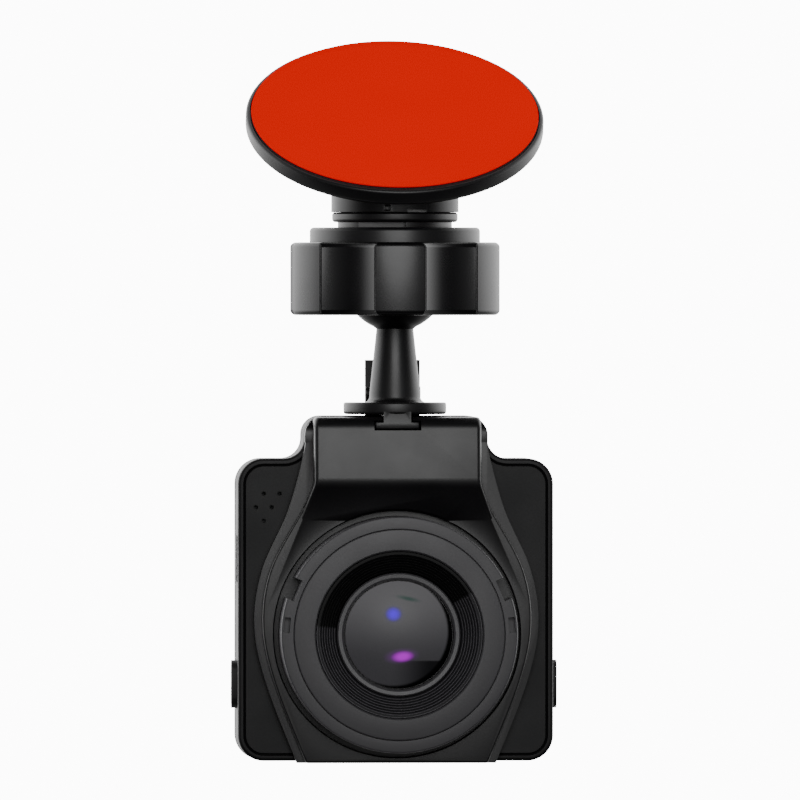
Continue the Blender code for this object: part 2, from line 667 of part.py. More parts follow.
def build_front_shell():
    spare = 4 * MM
    shell = prism("front_shell", casing_outline(), WING_FRONT, SPLIT + spare)
    bevel(shell, 0.6 * MM, 1, angle=60)
    inside = prism("front_shell_inside", casing_outline(WALL, HUMP_TOP - HUMP_ROOF),
                   WING_FRONT + WALL, SPLIT + 2 * spare)
    cut(shell, split_block("shell_split", SPLIT, SPLIT + 3 * spare), inside)
    for name, (x, z) in SCREW_PLACES.items():
        post = disc(name + "_front_post", POST_RADIUS, -SPLIT + 0.05 * MM, -WING_FRONT - WALL / 2,
                    steps=SMALL_STEPS, forward=True, centre=(x, 0, z))
        join(shell, post)
    for name, (x, z) in SCREW_PLACES.items():
        pilot = disc(name + "_pilot", SCREW_RADIUS + FIT, -SPLIT - 1 * MM,
                     SCREW_LENGTH + 0.5 * MM - HEAD_SEAT,
                     steps=SMALL_STEPS, forward=True, centre=(x, 0, z))
        cut(shell, pilot)
    lens_hole = disc("lens_hole", TRIM_INNER, -WING_FRONT - WALL - 1 * MM, -WING_FRONT + 1 * MM,
                     forward=True, centre=(0, 0, LENS_Z))
    cut(shell, lens_hole, *rail_slot("shell_slot", WING_FRONT - 1 * MM))
    for row, columns in enumerate((2, 2, 1)):
        for column in range(columns):
            x = -BODY_HALF + 4.5 * MM + (column - 0.5 * (row % 2)) * SOUND_PITCH
            z = WING_TOP - 6.15 * MM - row * SOUND_PITCH * math.sin(math.radians(60))
            hole = disc(f"sound_hole_{row}_{column}", SOUND_HOLE_RADIUS, -WING_FRONT - WALL - 1 * MM,
                        -WING_FRONT + 1 * MM, steps=10, forward=True, centre=(x, 0, z))
            cut(shell, hole)
    for side in (-1, 1):
        opening = prism(f"button_opening_{side}", rounded_rectangle(
            BUTTON_WIDTH / 2 + FIT, BUTTON_LENGTH / 2 + FIT, BUTTON_WIDTH / 2 + FIT - 0.05 * MM,
            (BUTTON_Y, BUTTON_Z), 3), 0.0, 4 * WALL)
        turn_to_x(opening, side * (BODY_HALF - WALL / 2), 4 * WALL)
        cut(shell, opening)
    usb = box("usb_opening", (-BODY_HALF - 1 * MM, USB_BACK - USB_HEIGHT - FIT,
                              USB_Z - USB_WIDTH / 2 - FIT),
              (-INNER_HALF + 1 * MM, USB_BACK + FIT, USB_Z + USB_WIDTH / 2 + FIT))
    card = box("card_opening", (INNER_HALF - 1 * MM, CARD_Y - CARD_THICKNESS / 2 - FIT,
                                CARD_Z - CARD_WIDTH / 2 - FIT),
               (BODY_HALF + 1 * MM, CARD_Y + CARD_THICKNESS / 2 + FIT, CARD_Z + CARD_WIDTH / 2 + FIT))
    voice = disc("voice_hole", 0.5 * MM, BODY_BOTTOM - 1 * MM, BODY_BOTTOM + WALL + 1 * MM, steps=10,
                 centre=(-12 * MM, 1.0 * MM, 0))
    cut(shell, usb, card, voice)
    finish(shell, SATIN_BLACK, camera_empty)


def turn_to_x(obj, middle, length):
    """Turn a prism drawn in (x, z), and extruded along Y from 0, so that it lies along X."""
    obj.matrix_world = (Matrix.Translation((middle, 0, 0))
                        @ Matrix.Rotation(math.radians(90), 4, 'Z')
                        @ Matrix.Scale(-1, 4, (0, 1, 0))
                        @ Matrix.Translation((0, -length / 2, 0)) @ obj.matrix_world)


def build_rear_cover():
    spare = 4 * MM
    cover = prism("rear_cover", casing_outline(), COVER_FRONT - spare, REAR_FACE)
    bevel(cover, 1.2 * MM, 2, angle=60)
    inside = prism("rear_cover_inside", casing_outline(WALL, HUMP_TOP - WALL - 1.4 * MM),
                   COVER_FRONT - 2 * spare, COVER_INNER)
    cut(cover, split_block("cover_split", COVER_FRONT - 3 * spare, COVER_FRONT), inside)
    for name, (x, z) in SCREW_PLACES.items():
        post = disc(name + "_rear_post", POST_RADIUS, -COVER_INNER - WALL / 2, -COVER_FRONT - 0.05 * MM,
                    steps=SMALL_STEPS, forward=True, centre=(x, 0, z))
        join(cover, post)
    for name, (x, z) in SCREW_PLACES.items():
        shank, head = SCREW_RADIUS + FIT, SCREW_HEAD_RADIUS + FIT
        hole = turned(name + "_hole", [
            (0.0, -COVER_FRONT + 1 * MM), (shank, -COVER_FRONT + 1 * MM), (shank, -HEAD_SEAT),
            (head, -HEAD_SEAT), (head, -REAR_FACE - 1 * MM), (0.0, -REAR_FACE - 1 * MM)],
            steps=SMALL_STEPS, forward=True, centre=(x, 0, z))
        cut(cover, hole)
    middle = (WINDOW_TOP + WINDOW_BOTTOM) / 2
    height = (WINDOW_TOP - WINDOW_BOTTOM) / 2
    opening = prism("window_opening", rounded_rectangle(WINDOW_HALF + FIT, height + FIT, 1.5 * MM,
                                                        (0, middle), 2),
                    COVER_INNER - 1 * MM, REAR_FACE + 1 * MM)
    cut(cover, opening)
    for index in range(4):
        key_hole = prism(f"key_opening_{index}", rounded_rectangle(
            KEY_WIDTH / 2 + FIT, KEY_HEIGHT / 2 + FIT, 1.0 * MM, (key_x(index), KEY_Z), 2),
            COVER_INNER - 1 * MM, REAR_FACE + 1 * MM)
        cut(cover, key_hole)
    pocket = box("latch_pocket", (-TAB_HALF - FIT, COVER_FRONT - 1 * MM, HUMP_TOP - TAB_HOOK - FIT),
                 (TAB_HALF + FIT, FOOT_FLAT + TAB_THICKNESS + 2.1 * MM, HUMP_TOP + 1 * MM))
    cut(cover, pocket)
    finish(cover, SATIN_BLACK, camera_empty)


def key_x(index):
    return (index - 1.5) * KEY_PITCH


def fascia_outline(offset, start):
    """Half outline of the vase shape, from the foot of the casing up to the hump."""
    widest = BEZEL_RADIUS + FASCIA_SIDE - offset
    foot = FASCIA_FOOT - offset * 1.1
    knots = [(foot, BODY_BOTTOM - 0.3 * MM),
             (widest - 2.15 * MM, LENS_Z - 8.9 * MM),
             (widest, LENS_Z + 1.4 * MM),
             (widest - 1.35 * MM, LENS_Z + 11.2 * MM)]
    return knots + start


def build_fascia():
    shoulder = [(FASCIA_SHOULDER + 2.8 * MM, LENS_Z + 21.5 * MM),
                (FASCIA_SHOULDER, WING_TOP + 0.9 * MM)]
    side = smooth_through(fascia_outline(0.0, shoulder), 3)
    rim = 0.3 * MM
    top_corner = arc((HUMP_HALF - HUMP_CORNER, HUMP_TOP - HUMP_CORNER), HUMP_CORNER - rim, 0, 90, 4)
    fascia = prism("front_fascia", mirrored(side + top_corner), TIER_FRONT, FASCIA_BACK)
    bevel(fascia, 0.4 * MM, 1, angle=60)
    inner_shoulder = [(16.8 * MM, LENS_Z + 21.3 * MM), (14.0 * MM, LENS_Z + 26.5 * MM)]
    inner = smooth_through(fascia_outline(TIER_STEP, inner_shoulder), 3)
    panel = prism("fascia_panel", mirrored(inner), PANEL_FRONT, TIER_FRONT + 0.6 * MM)
    bevel(panel, 0.35 * MM, 1, angle=60)

    # The hump block: a side profile in (y, z) with a rounded brow and a slope down to the panel.
    brow = 2.2 * MM
    top = HUMP_TOP - 0.15 * MM
    face_low = top - BLOCK_HEIGHT
    well_top = LENS_Z + BEZEL_RADIUS + WELL_GAP
    profile = [(FASCIA_BACK - 0.6 * MM, top)]
    profile += arc((BLOCK_FRONT + brow, top - brow), brow, 90, 180, 4)
    profile += [(BLOCK_FRONT, face_low), (PANEL_FRONT + 0.2 * MM, well_top + 0.8 * MM),
                (FASCIA_BACK - 0.6 * MM, well_top + 0.8 * MM)]
    block = prism("hump_block", profile, -BLOCK_HALF, BLOCK_HALF, upright=False)
    block.matrix_world = Matrix(((0, 0, 1, 0), (1, 0, 0, 0), (0, 1, 0, 0), (0, 0, 0, 1)))
    bevel(block, 1.5 * MM, 3, angle=60)
    join(fascia, panel, block)

    well_radius = BEZEL_RADIUS + WELL_GAP
    well = turned("lens_well", [
        (0.0, BEZEL_FRONT), (well_radius, BEZEL_FRONT), (well_radius, WELL_FLOOR),
        (TRIM_INNER, WELL_FLOOR), (TRIM_INNER, 0.0), (0.0, 0.0)],
        forward=True, centre=(0, 0, LENS_Z))
    cut(fascia, well, *rail_slot("fascia_slot", BLOCK_FRONT - 2 * MM))
    hollow = box("block_hollow", (-BLOCK_HALF + 2.2 * MM, BLOCK_FRONT + 1.8 * MM, face_low + 1.2 * MM),
                 (BLOCK_HALF - 2.2 * MM, FASCIA_BACK + 2 * MM, RAIL_BOTTOM - FIT - 1.2 * MM))
    cut(fascia, hollow)
    finish(fascia, SATIN_BLACK, camera_empty)


# ---------------------------------------------------------------- lens
def build_lens():
    place = {"forward": True, "centre": (0, 0, LENS_Z)}
    bezel_inner = BEZEL_RADIUS - BEZEL_WIDTH
    seat = WELL_FLOOR + FIT
    soft = 0.5 * MM
    bezel = turned("lens_bezel", [
        (bezel_inner, BEZEL_FRONT), (BEZEL_RADIUS - soft, BEZEL_FRONT),
        (BEZEL_RADIUS, BEZEL_FRONT - soft), (BEZEL_RADIUS, seat), (bezel_inner, seat)],
        steps=48, closed=True, **place)
    for side in (-1, 1):
        for name, angle, width, depth in (("clip_window", 22.5, 3.9 * MM, 3.0 * MM),
                                          ("clip_mark", 4.0, 2.7 * MM, 0.5 * MM)):
            window = box(f"{name}_{side}", (-0.2 * MM, -0.5 * MM, -width / 2),
                         (1.7 * MM, depth, width / 2))
            shift = Vector((BEZEL_RADIUS - 1.6 * MM, -BEZEL_FRONT, 0))
            tilt = Matrix.Rotation(math.radians(-angle * side), 4, 'Y')
            base = Matrix.Scale(side, 4, (1, 0, 0)) @ Matrix.Translation(shift)
            for vert in window.data.vertices:
                vert.co = base @ (vert.co + window.location)
            window.location = (0, 0, LENS_Z)
            window.rotation_euler = tilt.to_euler()
            if side < 0:
                window.data.flip_normals()
            cut(bezel, window)
    finish(bezel, GREY_TRIM, camera_empty)

    edge = 0.3 * MM
    wall = 1.4 * MM
    flange_back = TRIM_FRONT - 2 * MM
    trim = turned("trim_ring", [
        (TRIM_INNER, TRIM_FRONT), (TRIM_OUTER - edge, TRIM_FRONT), (TRIM_OUTER, TRIM_FRONT - edge),
        (TRIM_OUTER, seat), (TRIM_OUTER - wall, seat), (TRIM_OUTER - wall, flange_back),
        (TRIM_INNER, flange_back)], steps=48, closed=True, **place)
    finish(trim, GREY_TRIM, camera_empty)

    outer = TRIM_INNER - FIT
    inner = BARREL_HEAD_RADIUS + FIT
    front = TRIM_FRONT - 0.1 * MM
    slope = [(inner, front - BAFFLE_DEPTH)]
    run = (outer - inner) / BAFFLE_STEPS
    rise = BAFFLE_DEPTH / BAFFLE_STEPS
    for i in range(BAFFLE_STEPS):
        riser = inner + run * (i + 0.55)
        slope.append((riser, front - BAFFLE_DEPTH + rise * i))
        slope.append((riser, front - BAFFLE_DEPTH + rise * (i + 1)))
    slope.append((outer, front))
    baffle_back = front - BAFFLE_DEPTH - 1.2 * MM
    baffle = turned("light_baffle", slope + [(outer, baffle_back), (inner, baffle_back)],
                    closed=True, **place)
    finish(baffle, MATT_BLACK, camera_empty)

    dome_radius = BARREL_HEAD_RADIUS - BARREL_LIP
    seat_floor = BARREL_FRONT - 2.6 * MM
    head_back = BARREL_FRONT - 6.0 * MM
    thread_back = 0.3 * MM
    middle_radius = 5.0 * MM
    rear_radius = 3.6 * MM
    barrel = turned("lens_barrel", [
        (dome_radius, BARREL_FRONT), (BARREL_HEAD_RADIUS, BARREL_FRONT),
        (BARREL_HEAD_RADIUS, head_back), (THREAD_BODY_RADIUS, head_back - 1.5 * MM),
        (THREAD_BODY_RADIUS, thread_back), (rear_radius, thread_back),
        (rear_radius, head_back - 3.2 * MM), (middle_radius, head_back - 3.2 * MM),
        (middle_radius, head_back + 1.2 * MM), (dome_radius - 1.4 * MM, seat_floor - 1.2 * MM),
        (dome_radius - 1.4 * MM, seat_floor), (dome_radius, seat_floor)], closed=True, **place)
    finish(barrel, BARREL_METAL, camera_empty)

    glass = dome_radius - FIT
    edge_front = BARREL_FRONT - 0.9 * MM
    sphere = (glass ** 2 + DOME_RISE ** 2) / (2 * DOME_RISE)
    half_angle = math.degrees(math.asin(glass / sphere))
    centre = edge_front + DOME_RISE - sphere
    dome = [(x, z + centre) for z, x in arc((0, 0), sphere, 0, half_angle, 4)]
    lens_back = seat_floor + FIT
    front_lens = turned("front_lens_element", dome + [(glass, lens_back), (0.0, lens_back)], **place)
    finish(front_lens, LENS_GLASS, camera_empty)
    for name, radius, low, thick in (
            ("middle_lens_element", middle_radius - FIT, head_back - 3.2 * MM + FIT, 2.6 * MM),
            ("rear_lens_element", rear_radius - FIT, thread_back + 0.4 * MM, 2.2 * MM)):
        lens = turned(name, [(0.0, low + thick), (radius * 0.6, low + thick * 0.92),
                             (radius, low + thick * 0.7), (radius, low), (0.0, low)],
                      steps=24, **place)
        finish(lens, LENS_GLASS, camera_empty)

    # Holder on the main board, with the sensor and the infrared filter inside it.
    half = 8.0 * MM
    pocket_half = 5.2 * MM
    floor = 0.9 * MM
    holder = box("lens_holder", (-half, -1.2 * MM, LENS_Z - half),
                 (half, BOARD_FACE - FIT, LENS_Z + half))
    bevel(holder, 0.6 * MM, 2)
    tube = disc("holder_tube", THREAD_BODY_RADIUS + 1.7 * MM, 0.6 * MM, 4.2 * MM, **place)
    join(holder, tube)
    bore = disc("holder_bore", THREAD_BODY_RADIUS + FIT, 0.0, 6 * MM, **place)
    pocket = box("sensor_pocket", (-pocket_half, floor, LENS_Z - pocket_half),
                 (pocket_half, BOARD_FACE + 1 * MM, LENS_Z + pocket_half))
    light_path = disc("light_path", 3.4 * MM, -BOARD_FACE - 1 * MM, 3 * MM, steps=24, **place)
    cut(holder, bore, pocket, light_path)
    finish(holder, MATT_BLACK, camera_empty)
    chip_half = 4.0 * MM
    sensor = box("image_sensor", (-chip_half, BOARD_FACE - FIT - 0.9 * MM, LENS_Z - chip_half),
                 (chip_half, BOARD_FACE - FIT, LENS_Z + chip_half))
    finish(sensor, CHIP_BLACK, camera_empty)
    filter_half = 4.4 * MM
    infrared = box("infrared_filter", (-filter_half, floor + FIT, LENS_Z - filter_half),
                   (filter_half, floor + FIT + 0.4 * MM, LENS_Z + filter_half))
    finish(infrared, FILTER_GLASS, camera_empty)


# ---------------------------------------------------------------- electronics
def build_electronics():
    board = box("main_board", (-BOARD_HALF, BOARD_FACE, BOARD_BOTTOM),
                (BOARD_HALF, BOARD_BACK, BOARD_TOP))
    finish(board, BOARD_GREEN, camera_empty)
    front = BOARD_FACE - FIT
    chip_top = WING_TOP - 8.0 * MM
    chip = box("processor", (-5.0 * MM, front - 1.0 * MM, chip_top - 10.0 * MM),
               (5.0 * MM, front, chip_top))
    finish(chip, CHIP_BLACK, camera_empty)
    voice = box("microphone", (-13.9 * MM, front - 1.1 * MM, BOARD_BOTTOM + 1.0 * MM),
                (-10.1 * MM, front, BOARD_BOTTOM + 4.0 * MM))
    finish(voice, STEEL, camera_empty)
    middle = (WINDOW_TOP + WINDOW_BOTTOM) / 2
    cell = box("battery", (-15 * MM, BOARD_BACK + FIT, middle - 12 * MM),
               (15 * MM, BOARD_BACK + FIT + 3.6 * MM, middle + 12 * MM))
    bevel(cell, 0.6 * MM, 2)
    finish(cell, CELL_FOIL, camera_empty)

    speaker_radius = 4.6 * MM
    cone_radius = 3.8 * MM
    magnet_radius = 3.0 * MM
    face = -(WING_FRONT + WALL + FIT)
    speaker = turned("speaker", [
        (0.0, face - 0.5 * MM), (cone_radius, face - 0.5 * MM), (cone_radius, face),
        (speaker_radius, face), (speaker_radius, face - 1.6 * MM), (magnet_radius, face - 1.6 * MM),
        (magnet_radius, face - 2.4 * MM), (0.0, face - 2.4 * MM)], steps=24, forward=True,
        centre=(-INNER_HALF + speaker_radius + 0.5 * MM, 0,
                WING_TOP - WALL - speaker_radius - 1.5 * MM))
    finish(speaker, CHIP_BLACK, camera_empty)

    usb_left = -INNER_HALF
    usb_right = usb_left + USB_LENGTH
    usb_middle = USB_BACK - USB_HEIGHT / 2
    usb = box("usb_socket", (usb_left, USB_BACK - USB_HEIGHT, USB_Z - USB_WIDTH / 2),
              (usb_right, USB_BACK, USB_Z + USB_WIDTH / 2))
    mouth_half = USB_WIDTH / 2 - METAL_SHEET
    mouth = box("usb_mouth", (usb_left - 1 * MM, USB_BACK - USB_HEIGHT + METAL_SHEET, USB_Z - mouth_half),
                (usb_right - 1.2 * MM, USB_BACK - METAL_SHEET, USB_Z + mouth_half))
    cut(usb, mouth)
    tongue_half = 2.3 * MM
    tongue = box("usb_tongue", (usb_left + 0.8 * MM, usb_middle - 0.5 * MM, USB_Z - tongue_half),
                 (usb_right - 0.6 * MM, usb_middle + 0.5 * MM, USB_Z + tongue_half))
    join(usb, tongue)
    finish(usb, STEEL, camera_empty)

    card_right = BODY_HALF - 0.3 * MM
    socket_right = INNER_HALF - FIT
    y_low = CARD_Y - CARD_THICKNESS / 2 - FIT
    y_high = CARD_Y + CARD_THICKNESS / 2 + FIT
    z_low = CARD_Z - CARD_WIDTH / 2 - FIT
    z_high = CARD_Z + CARD_WIDTH / 2 + FIT
    socket_left = card_right - CARD_LENGTH - FIT - METAL_SHEET
    socket = box("card_socket", (socket_left, y_low - METAL_SHEET, z_low - METAL_SHEET),
                 (socket_right, y_high + METAL_SHEET, z_high + METAL_SHEET))
    card_way = box("card_way", (socket_left + METAL_SHEET, y_low, z_low),
                   (socket_right + 1 * MM, y_high, z_high))
    cut(socket, card_way)
    finish(socket, STEEL, camera_empty)
    card_empty = axis_empty("memory_card_axis", (card_right, CARD_Y, CARD_Z), camera_empty)
    card_left = card_right - CARD_LENGTH
    card_low, card_high = CARD_Z - CARD_WIDTH / 2, CARD_Z + CARD_WIDTH / 2
    card = prism("memory_card", [(card_right, card_low), (card_right, card_high),
                                 (card_left, card_high - 1.3 * MM), (card_left, card_low)],
                 CARD_Y - CARD_THICKNESS / 2, CARD_Y + CARD_THICKNESS / 2)
    finish(card, CARD_BLACK, card_empty)


def build_display():
    middle = (WINDOW_TOP + WINDOW_BOTTOM) / 2
    height = (WINDOW_TOP - WINDOW_BOTTOM) / 2
    window_back = REAR_FACE - 0.15 * MM
    window = prism("display_window", rounded_rectangle(WINDOW_HALF, height, 1.4 * MM, (0, middle), 3),
                   window_back - WINDOW_THICKNESS, window_back)
    finish(window, SCREEN_BLACK, camera_empty)
    panel_back = window_back - WINDOW_THICKNESS - FIT
    panel = box("display_panel", (-WINDOW_HALF + 1 * MM, panel_back - 2.0 * MM, WINDOW_BOTTOM + 1 * MM),
                (WINDOW_HALF - 1 * MM, panel_back, WINDOW_TOP - 1 * MM))
    bevel(panel, 0.3 * MM, 1)
    finish(panel, SCREEN_BLACK, camera_empty)


# ---------------------------------------------------------------- keys and buttons
def build_keys():
    flange_back = COVER_INNER - FIT
    flange_front = flange_back - 0.6 * MM
    dome_top = flange_front - KEY_TRAVEL - FIT
    strip = box("key_board", (-2 * KEY_PITCH, dome_top - 1.2 * MM, KEY_Z - 2.6 * MM),
                (2 * KEY_PITCH, dome_top - 0.5 * MM, KEY_Z + 2.6 * MM))
    for index in range(4):
        dome = disc(f"dome_{index}", 1.6 * MM, -dome_top, -dome_top + 0.7 * MM, steps=SMALL_STEPS,
                    forward=True, centre=(key_x(index), 0, KEY_Z))
        join(strip, dome)
    finish(strip, BOARD_GREEN, camera_empty)
    for index in range(4):
        x = key_x(index)
        empty = axis_empty(f"key_{index + 1}_axis", (x, REAR_FACE, KEY_Z), camera_empty)
        outline = rounded_rectangle(KEY_WIDTH / 2, KEY_HEIGHT / 2, 0.9 * MM, (x, KEY_Z), 3)
        cap = prism(f"rear_key_{index + 1}", outline, flange_back - 0.3 * MM, REAR_FACE + KEY_PROUD)
        bevel(cap, 0.25 * MM, 1, angle=60)
        flange_x = KEY_WIDTH / 2 + FLANGE_REACH
        flange_z = KEY_HEIGHT / 2 + FLANGE_REACH
        flange = box(f"key_flange_{index}", (x - flange_x, flange_front, KEY_Z - flange_z),
                     (x + flange_x, flange_back, KEY_Z + flange_z))
        join(cap, flange)
        finish(cap, MATT_BLACK, empty)


def build_side_button(name, side, proud):
    """A pad that slides in the side wall, with a flange and a plunger inside."""
    empty = axis_empty(name + "_axis", (side * BODY_HALF, BUTTON_Y, BUTTON_Z), camera_empty)
    outer = BODY_HALF + proud
    flange_out = INNER_HALF - FIT
    flange_in = flange_out - 0.7 * MM
    length = outer - flange_in - 0.2 * MM
    outline = rounded_rectangle(BUTTON_WIDTH / 2, BUTTON_LENGTH / 2, BUTTON_WIDTH / 2 - 0.05 * MM,
                                (BUTTON_Y, BUTTON_Z), 4)
    cap = prism(name, outline, 0.0, length)
    turn_to_x(cap, side * (outer - length / 2), length)
    freeze(cap)
    bevel(cap, 0.35 * MM, 2, angle=60)
    ends = sorted((side * flange_in, side * flange_out))
    flange_y = BUTTON_WIDTH / 2 + FLANGE_REACH
    flange_z = BUTTON_LENGTH / 2 + FLANGE_REACH
    flange = box(name + "_flange", (ends[0], BUTTON_Y - flange_y, BUTTON_Z - flange_z),
                 (ends[1], BUTTON_Y + flange_y, BUTTON_Z + flange_z))
    plunger_tip = BOARD_HALF + 0.1 * MM
    ends = sorted((side * plunger_tip, side * (flange_in + 0.2 * MM)))
    plunger = box(name + "_plunger", (ends[0], BUTTON_Y - 1.0 * MM, BUTTON_Z - 1.5 * MM),
                  (ends[1], BUTTON_Y + 1.0 * MM, BUTTON_Z + 1.5 * MM))
    join(cap, flange, plunger)
    finish(cap, MATT_BLACK, empty)
    switch_face = plunger_tip - BUTTON_TRAVEL - FIT
    ends = sorted((side * switch_face, side * (switch_face - 3.4 * MM)))
    switch_half = 2.2 * MM
    switch = box(name.replace("button", "switch"),
                 (ends[0], BOARD_FACE - FIT - 3.0 * MM, BUTTON_Z - switch_half),
                 (ends[1], BOARD_FACE - FIT, BUTTON_Z + switch_half))
    bevel(switch, 0.3 * MM, 1)
    finish(switch, STEEL, camera_empty)


# ---------------------------------------------------------------- fasteners
def build_screws():
    seat = HEAD_SEAT + 0.1 * MM
    head_back = seat + SCREW_HEAD
    tip = seat - SCREW_LENGTH
    master = turned("screw_master", [
        (0.0, head_back), (SCREW_HEAD_RADIUS - 0.5 * MM, head_back),
        (SCREW_HEAD_RADIUS, head_back - 0.4 * MM), (SCREW_HEAD_RADIUS, seat), (SCREW_RADIUS, seat),
        (SCREW_RADIUS, tip + 0.7 * MM), (SCREW_RADIUS * 0.5, tip), (0.0, tip)], steps=SMALL_STEPS)
    arm = 1.1 * MM
    half = 0.22 * MM
    for index, (x, y) in enumerate(((arm, half), (half, arm))):
        cross = box(f"cross_slot_{index}", (-x, -y, head_back - 0.55 * MM), (x, y, head_back + 1 * MM))
        cut(master, cross)
    freeze(master)
    master.data.materials.append(STEEL)
    for name, (x, z) in SCREW_PLACES.items():
        screw = add_object(name, master.data)
        screw.rotation_euler.x = math.radians(-90)
        screw.location = (x, 0, z)
        hang(screw, camera_empty)
    bpy.data.objects.remove(master, do_unlink=True)


build_mount()
build_socket()
build_nut()
build_arm()
build_front_shell()
build_rear_cover()
build_fascia()
build_lens()
build_electronics()
build_display()
build_keys()
build_side_button("left_button", -1, LEFT_PROUD)
build_side_button("right_button", 1, RIGHT_PROUD)
build_screws()
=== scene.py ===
import json
import math

import bpy
from mathutils import Matrix, Vector


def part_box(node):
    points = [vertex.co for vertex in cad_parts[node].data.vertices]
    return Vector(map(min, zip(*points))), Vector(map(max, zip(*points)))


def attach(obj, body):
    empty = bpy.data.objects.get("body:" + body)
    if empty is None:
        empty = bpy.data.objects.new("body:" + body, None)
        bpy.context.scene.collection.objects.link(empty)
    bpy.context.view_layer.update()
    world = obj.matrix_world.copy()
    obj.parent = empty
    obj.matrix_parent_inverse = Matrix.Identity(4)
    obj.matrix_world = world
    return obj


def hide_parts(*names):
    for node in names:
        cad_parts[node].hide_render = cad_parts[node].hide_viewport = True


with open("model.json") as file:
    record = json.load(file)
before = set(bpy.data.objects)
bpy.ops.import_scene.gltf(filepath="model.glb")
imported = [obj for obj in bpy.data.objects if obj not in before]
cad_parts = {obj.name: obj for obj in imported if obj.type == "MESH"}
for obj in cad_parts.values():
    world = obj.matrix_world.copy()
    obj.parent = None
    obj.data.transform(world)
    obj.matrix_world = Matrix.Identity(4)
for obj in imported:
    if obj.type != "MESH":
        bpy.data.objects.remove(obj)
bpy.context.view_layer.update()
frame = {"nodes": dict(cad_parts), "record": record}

MM = 0.001
SMOOTH_ANGLE = 32
TOUCHING = 0.01 * MM


# ---------------------------------------------------------------- adhesive pad and release liner
# A disc of black acrylic foam tape, die-cut, on the mount's tilted face. Its release liner is a
# polyester film dyed bright red, left on until the camera is stuck to the windscreen.
def deselect():
    if bpy.context.object and bpy.context.object.mode != 'OBJECT':
        bpy.ops.object.mode_set(mode='OBJECT')
    bpy.ops.object.select_all(action='DESELECT')


def edit(piece):
    """Open a piece in edit mode with nothing selected."""
    deselect()
    piece.select_set(True)
    bpy.context.view_layer.objects.active = piece
    bpy.ops.object.mode_set(mode='EDIT')
    bpy.ops.mesh.select_all(action='DESELECT')


def take_up(piece):
    """Leave edit mode with only this piece selected and active."""
    deselect()
    piece.select_set(True)
    bpy.context.view_layer.objects.active = piece


def settle(piece):
    """Leave edit mode, faces outwards, with the piece's place in its mesh."""
    if bpy.context.object.mode != 'EDIT':
        edit(piece)
    bpy.ops.mesh.select_all(action='SELECT')
    bpy.ops.mesh.normals_make_consistent(inside=False)
    take_up(piece)
    bpy.ops.object.transform_apply(location=True, rotation=True, scale=True)
    return piece


def apply_modifier(piece, kind, **settings):
    take_up(piece)
    step = piece.modifiers.new(kind.lower(), kind)
    for key, value in settings.items():
        setattr(step, key, value)
    bpy.ops.object.modifier_apply(modifier=step.name)
    return piece


def turned(name, profile, steps=96, closed=False):
    """Turn a profile of (radius, height) points: a ring is extruded, scaled and moved up it."""
    deselect()
    radius, height = profile[0]
    bpy.ops.mesh.primitive_circle_add(vertices=steps, radius=radius, fill_type='NOTHING')
    piece = bpy.context.object
    piece.name = name
    edit(piece)
    bpy.ops.mesh.select_all(action='SELECT')
    bpy.ops.transform.translate(value=(0, 0, height))
    for next_radius, next_height in profile[1:]:
        bpy.ops.mesh.extrude_edges_move(TRANSFORM_OT_translate={"value": (0, 0, next_height - height)})
        scale = next_radius / radius
        bpy.ops.transform.resize(value=(scale, scale, 1), center_override=(0, 0, next_height))
        radius, height = next_radius, next_height
    bpy.ops.mesh.select_mode(type='EDGE')
    bpy.ops.mesh.select_all(action='DESELECT')
    bpy.ops.mesh.select_non_manifold(extend=False)
    if closed:
        bpy.ops.mesh.bridge_edge_loops()
    else:
        bpy.ops.mesh.fill_holes(sides=0)
    return settle(piece)


def arc(centre, radius, start, end, steps):
    """Points along an arc, with its angles in degrees."""
    angles = (math.radians(start + (end - start) * i / steps) for i in range(steps + 1))
    return [(centre[0] + radius * math.cos(a), centre[1] + radius * math.sin(a)) for a in angles]


def stand(piece, turn_x=0.0, turn_z=0.0, place=(0, 0, 0)):
    """Turn a finished mesh about X then Z, in degrees, and move it into place."""
    take_up(piece)
    piece.rotation_euler = (math.radians(turn_x), 0, math.radians(turn_z))
    piece.location = place
    bpy.ops.object.transform_apply(location=True, rotation=True, scale=True)
    return piece


def hex_colour(code):
    """An sRGB hex code as a linear colour."""
    parts = [int(code[i:i + 2], 16) / 255 for i in (1, 3, 5)]
    linear = [c / 12.92 if c <= 0.04045 else ((c + 0.055) / 1.055) ** 2.4 for c in parts]
    return (*linear, 1.0)


def add_node(tree, kind, links=None, **settings):
    """Add a node; settings are its properties or input values, links its inputs' sources or values."""
    node = tree.nodes.new("ShaderNode" + kind)
    for key, value in settings.items():
        if hasattr(node, key):
            setattr(node, key, value)
        else:
            node.inputs[key.replace("_", " ")].default_value = value
    for key, source in (links or {}).items():
        if isinstance(source, bpy.types.NodeSocket):
            tree.links.new(source, node.inputs[key])
        else:
            node.inputs[key].default_value = source
    return node


def join_up(tree, shader, **sources):
    """Link outputs to the shader's own sockets."""
    for key, source in sources.items():
        tree.links.new(source, shader.inputs[key.replace("_", " ")])


def new_material(name, **shader_values):
    """A material with a Principled shader; values are set on the shader's own sockets."""
    made = bpy.data.materials.new(name)
    made.use_nodes = True
    shader = made.node_tree.nodes["Principled BSDF"]
    for key, value in shader_values.items():
        shader.inputs[key.replace("_", " ")].default_value = value
    return made, made.node_tree, shader


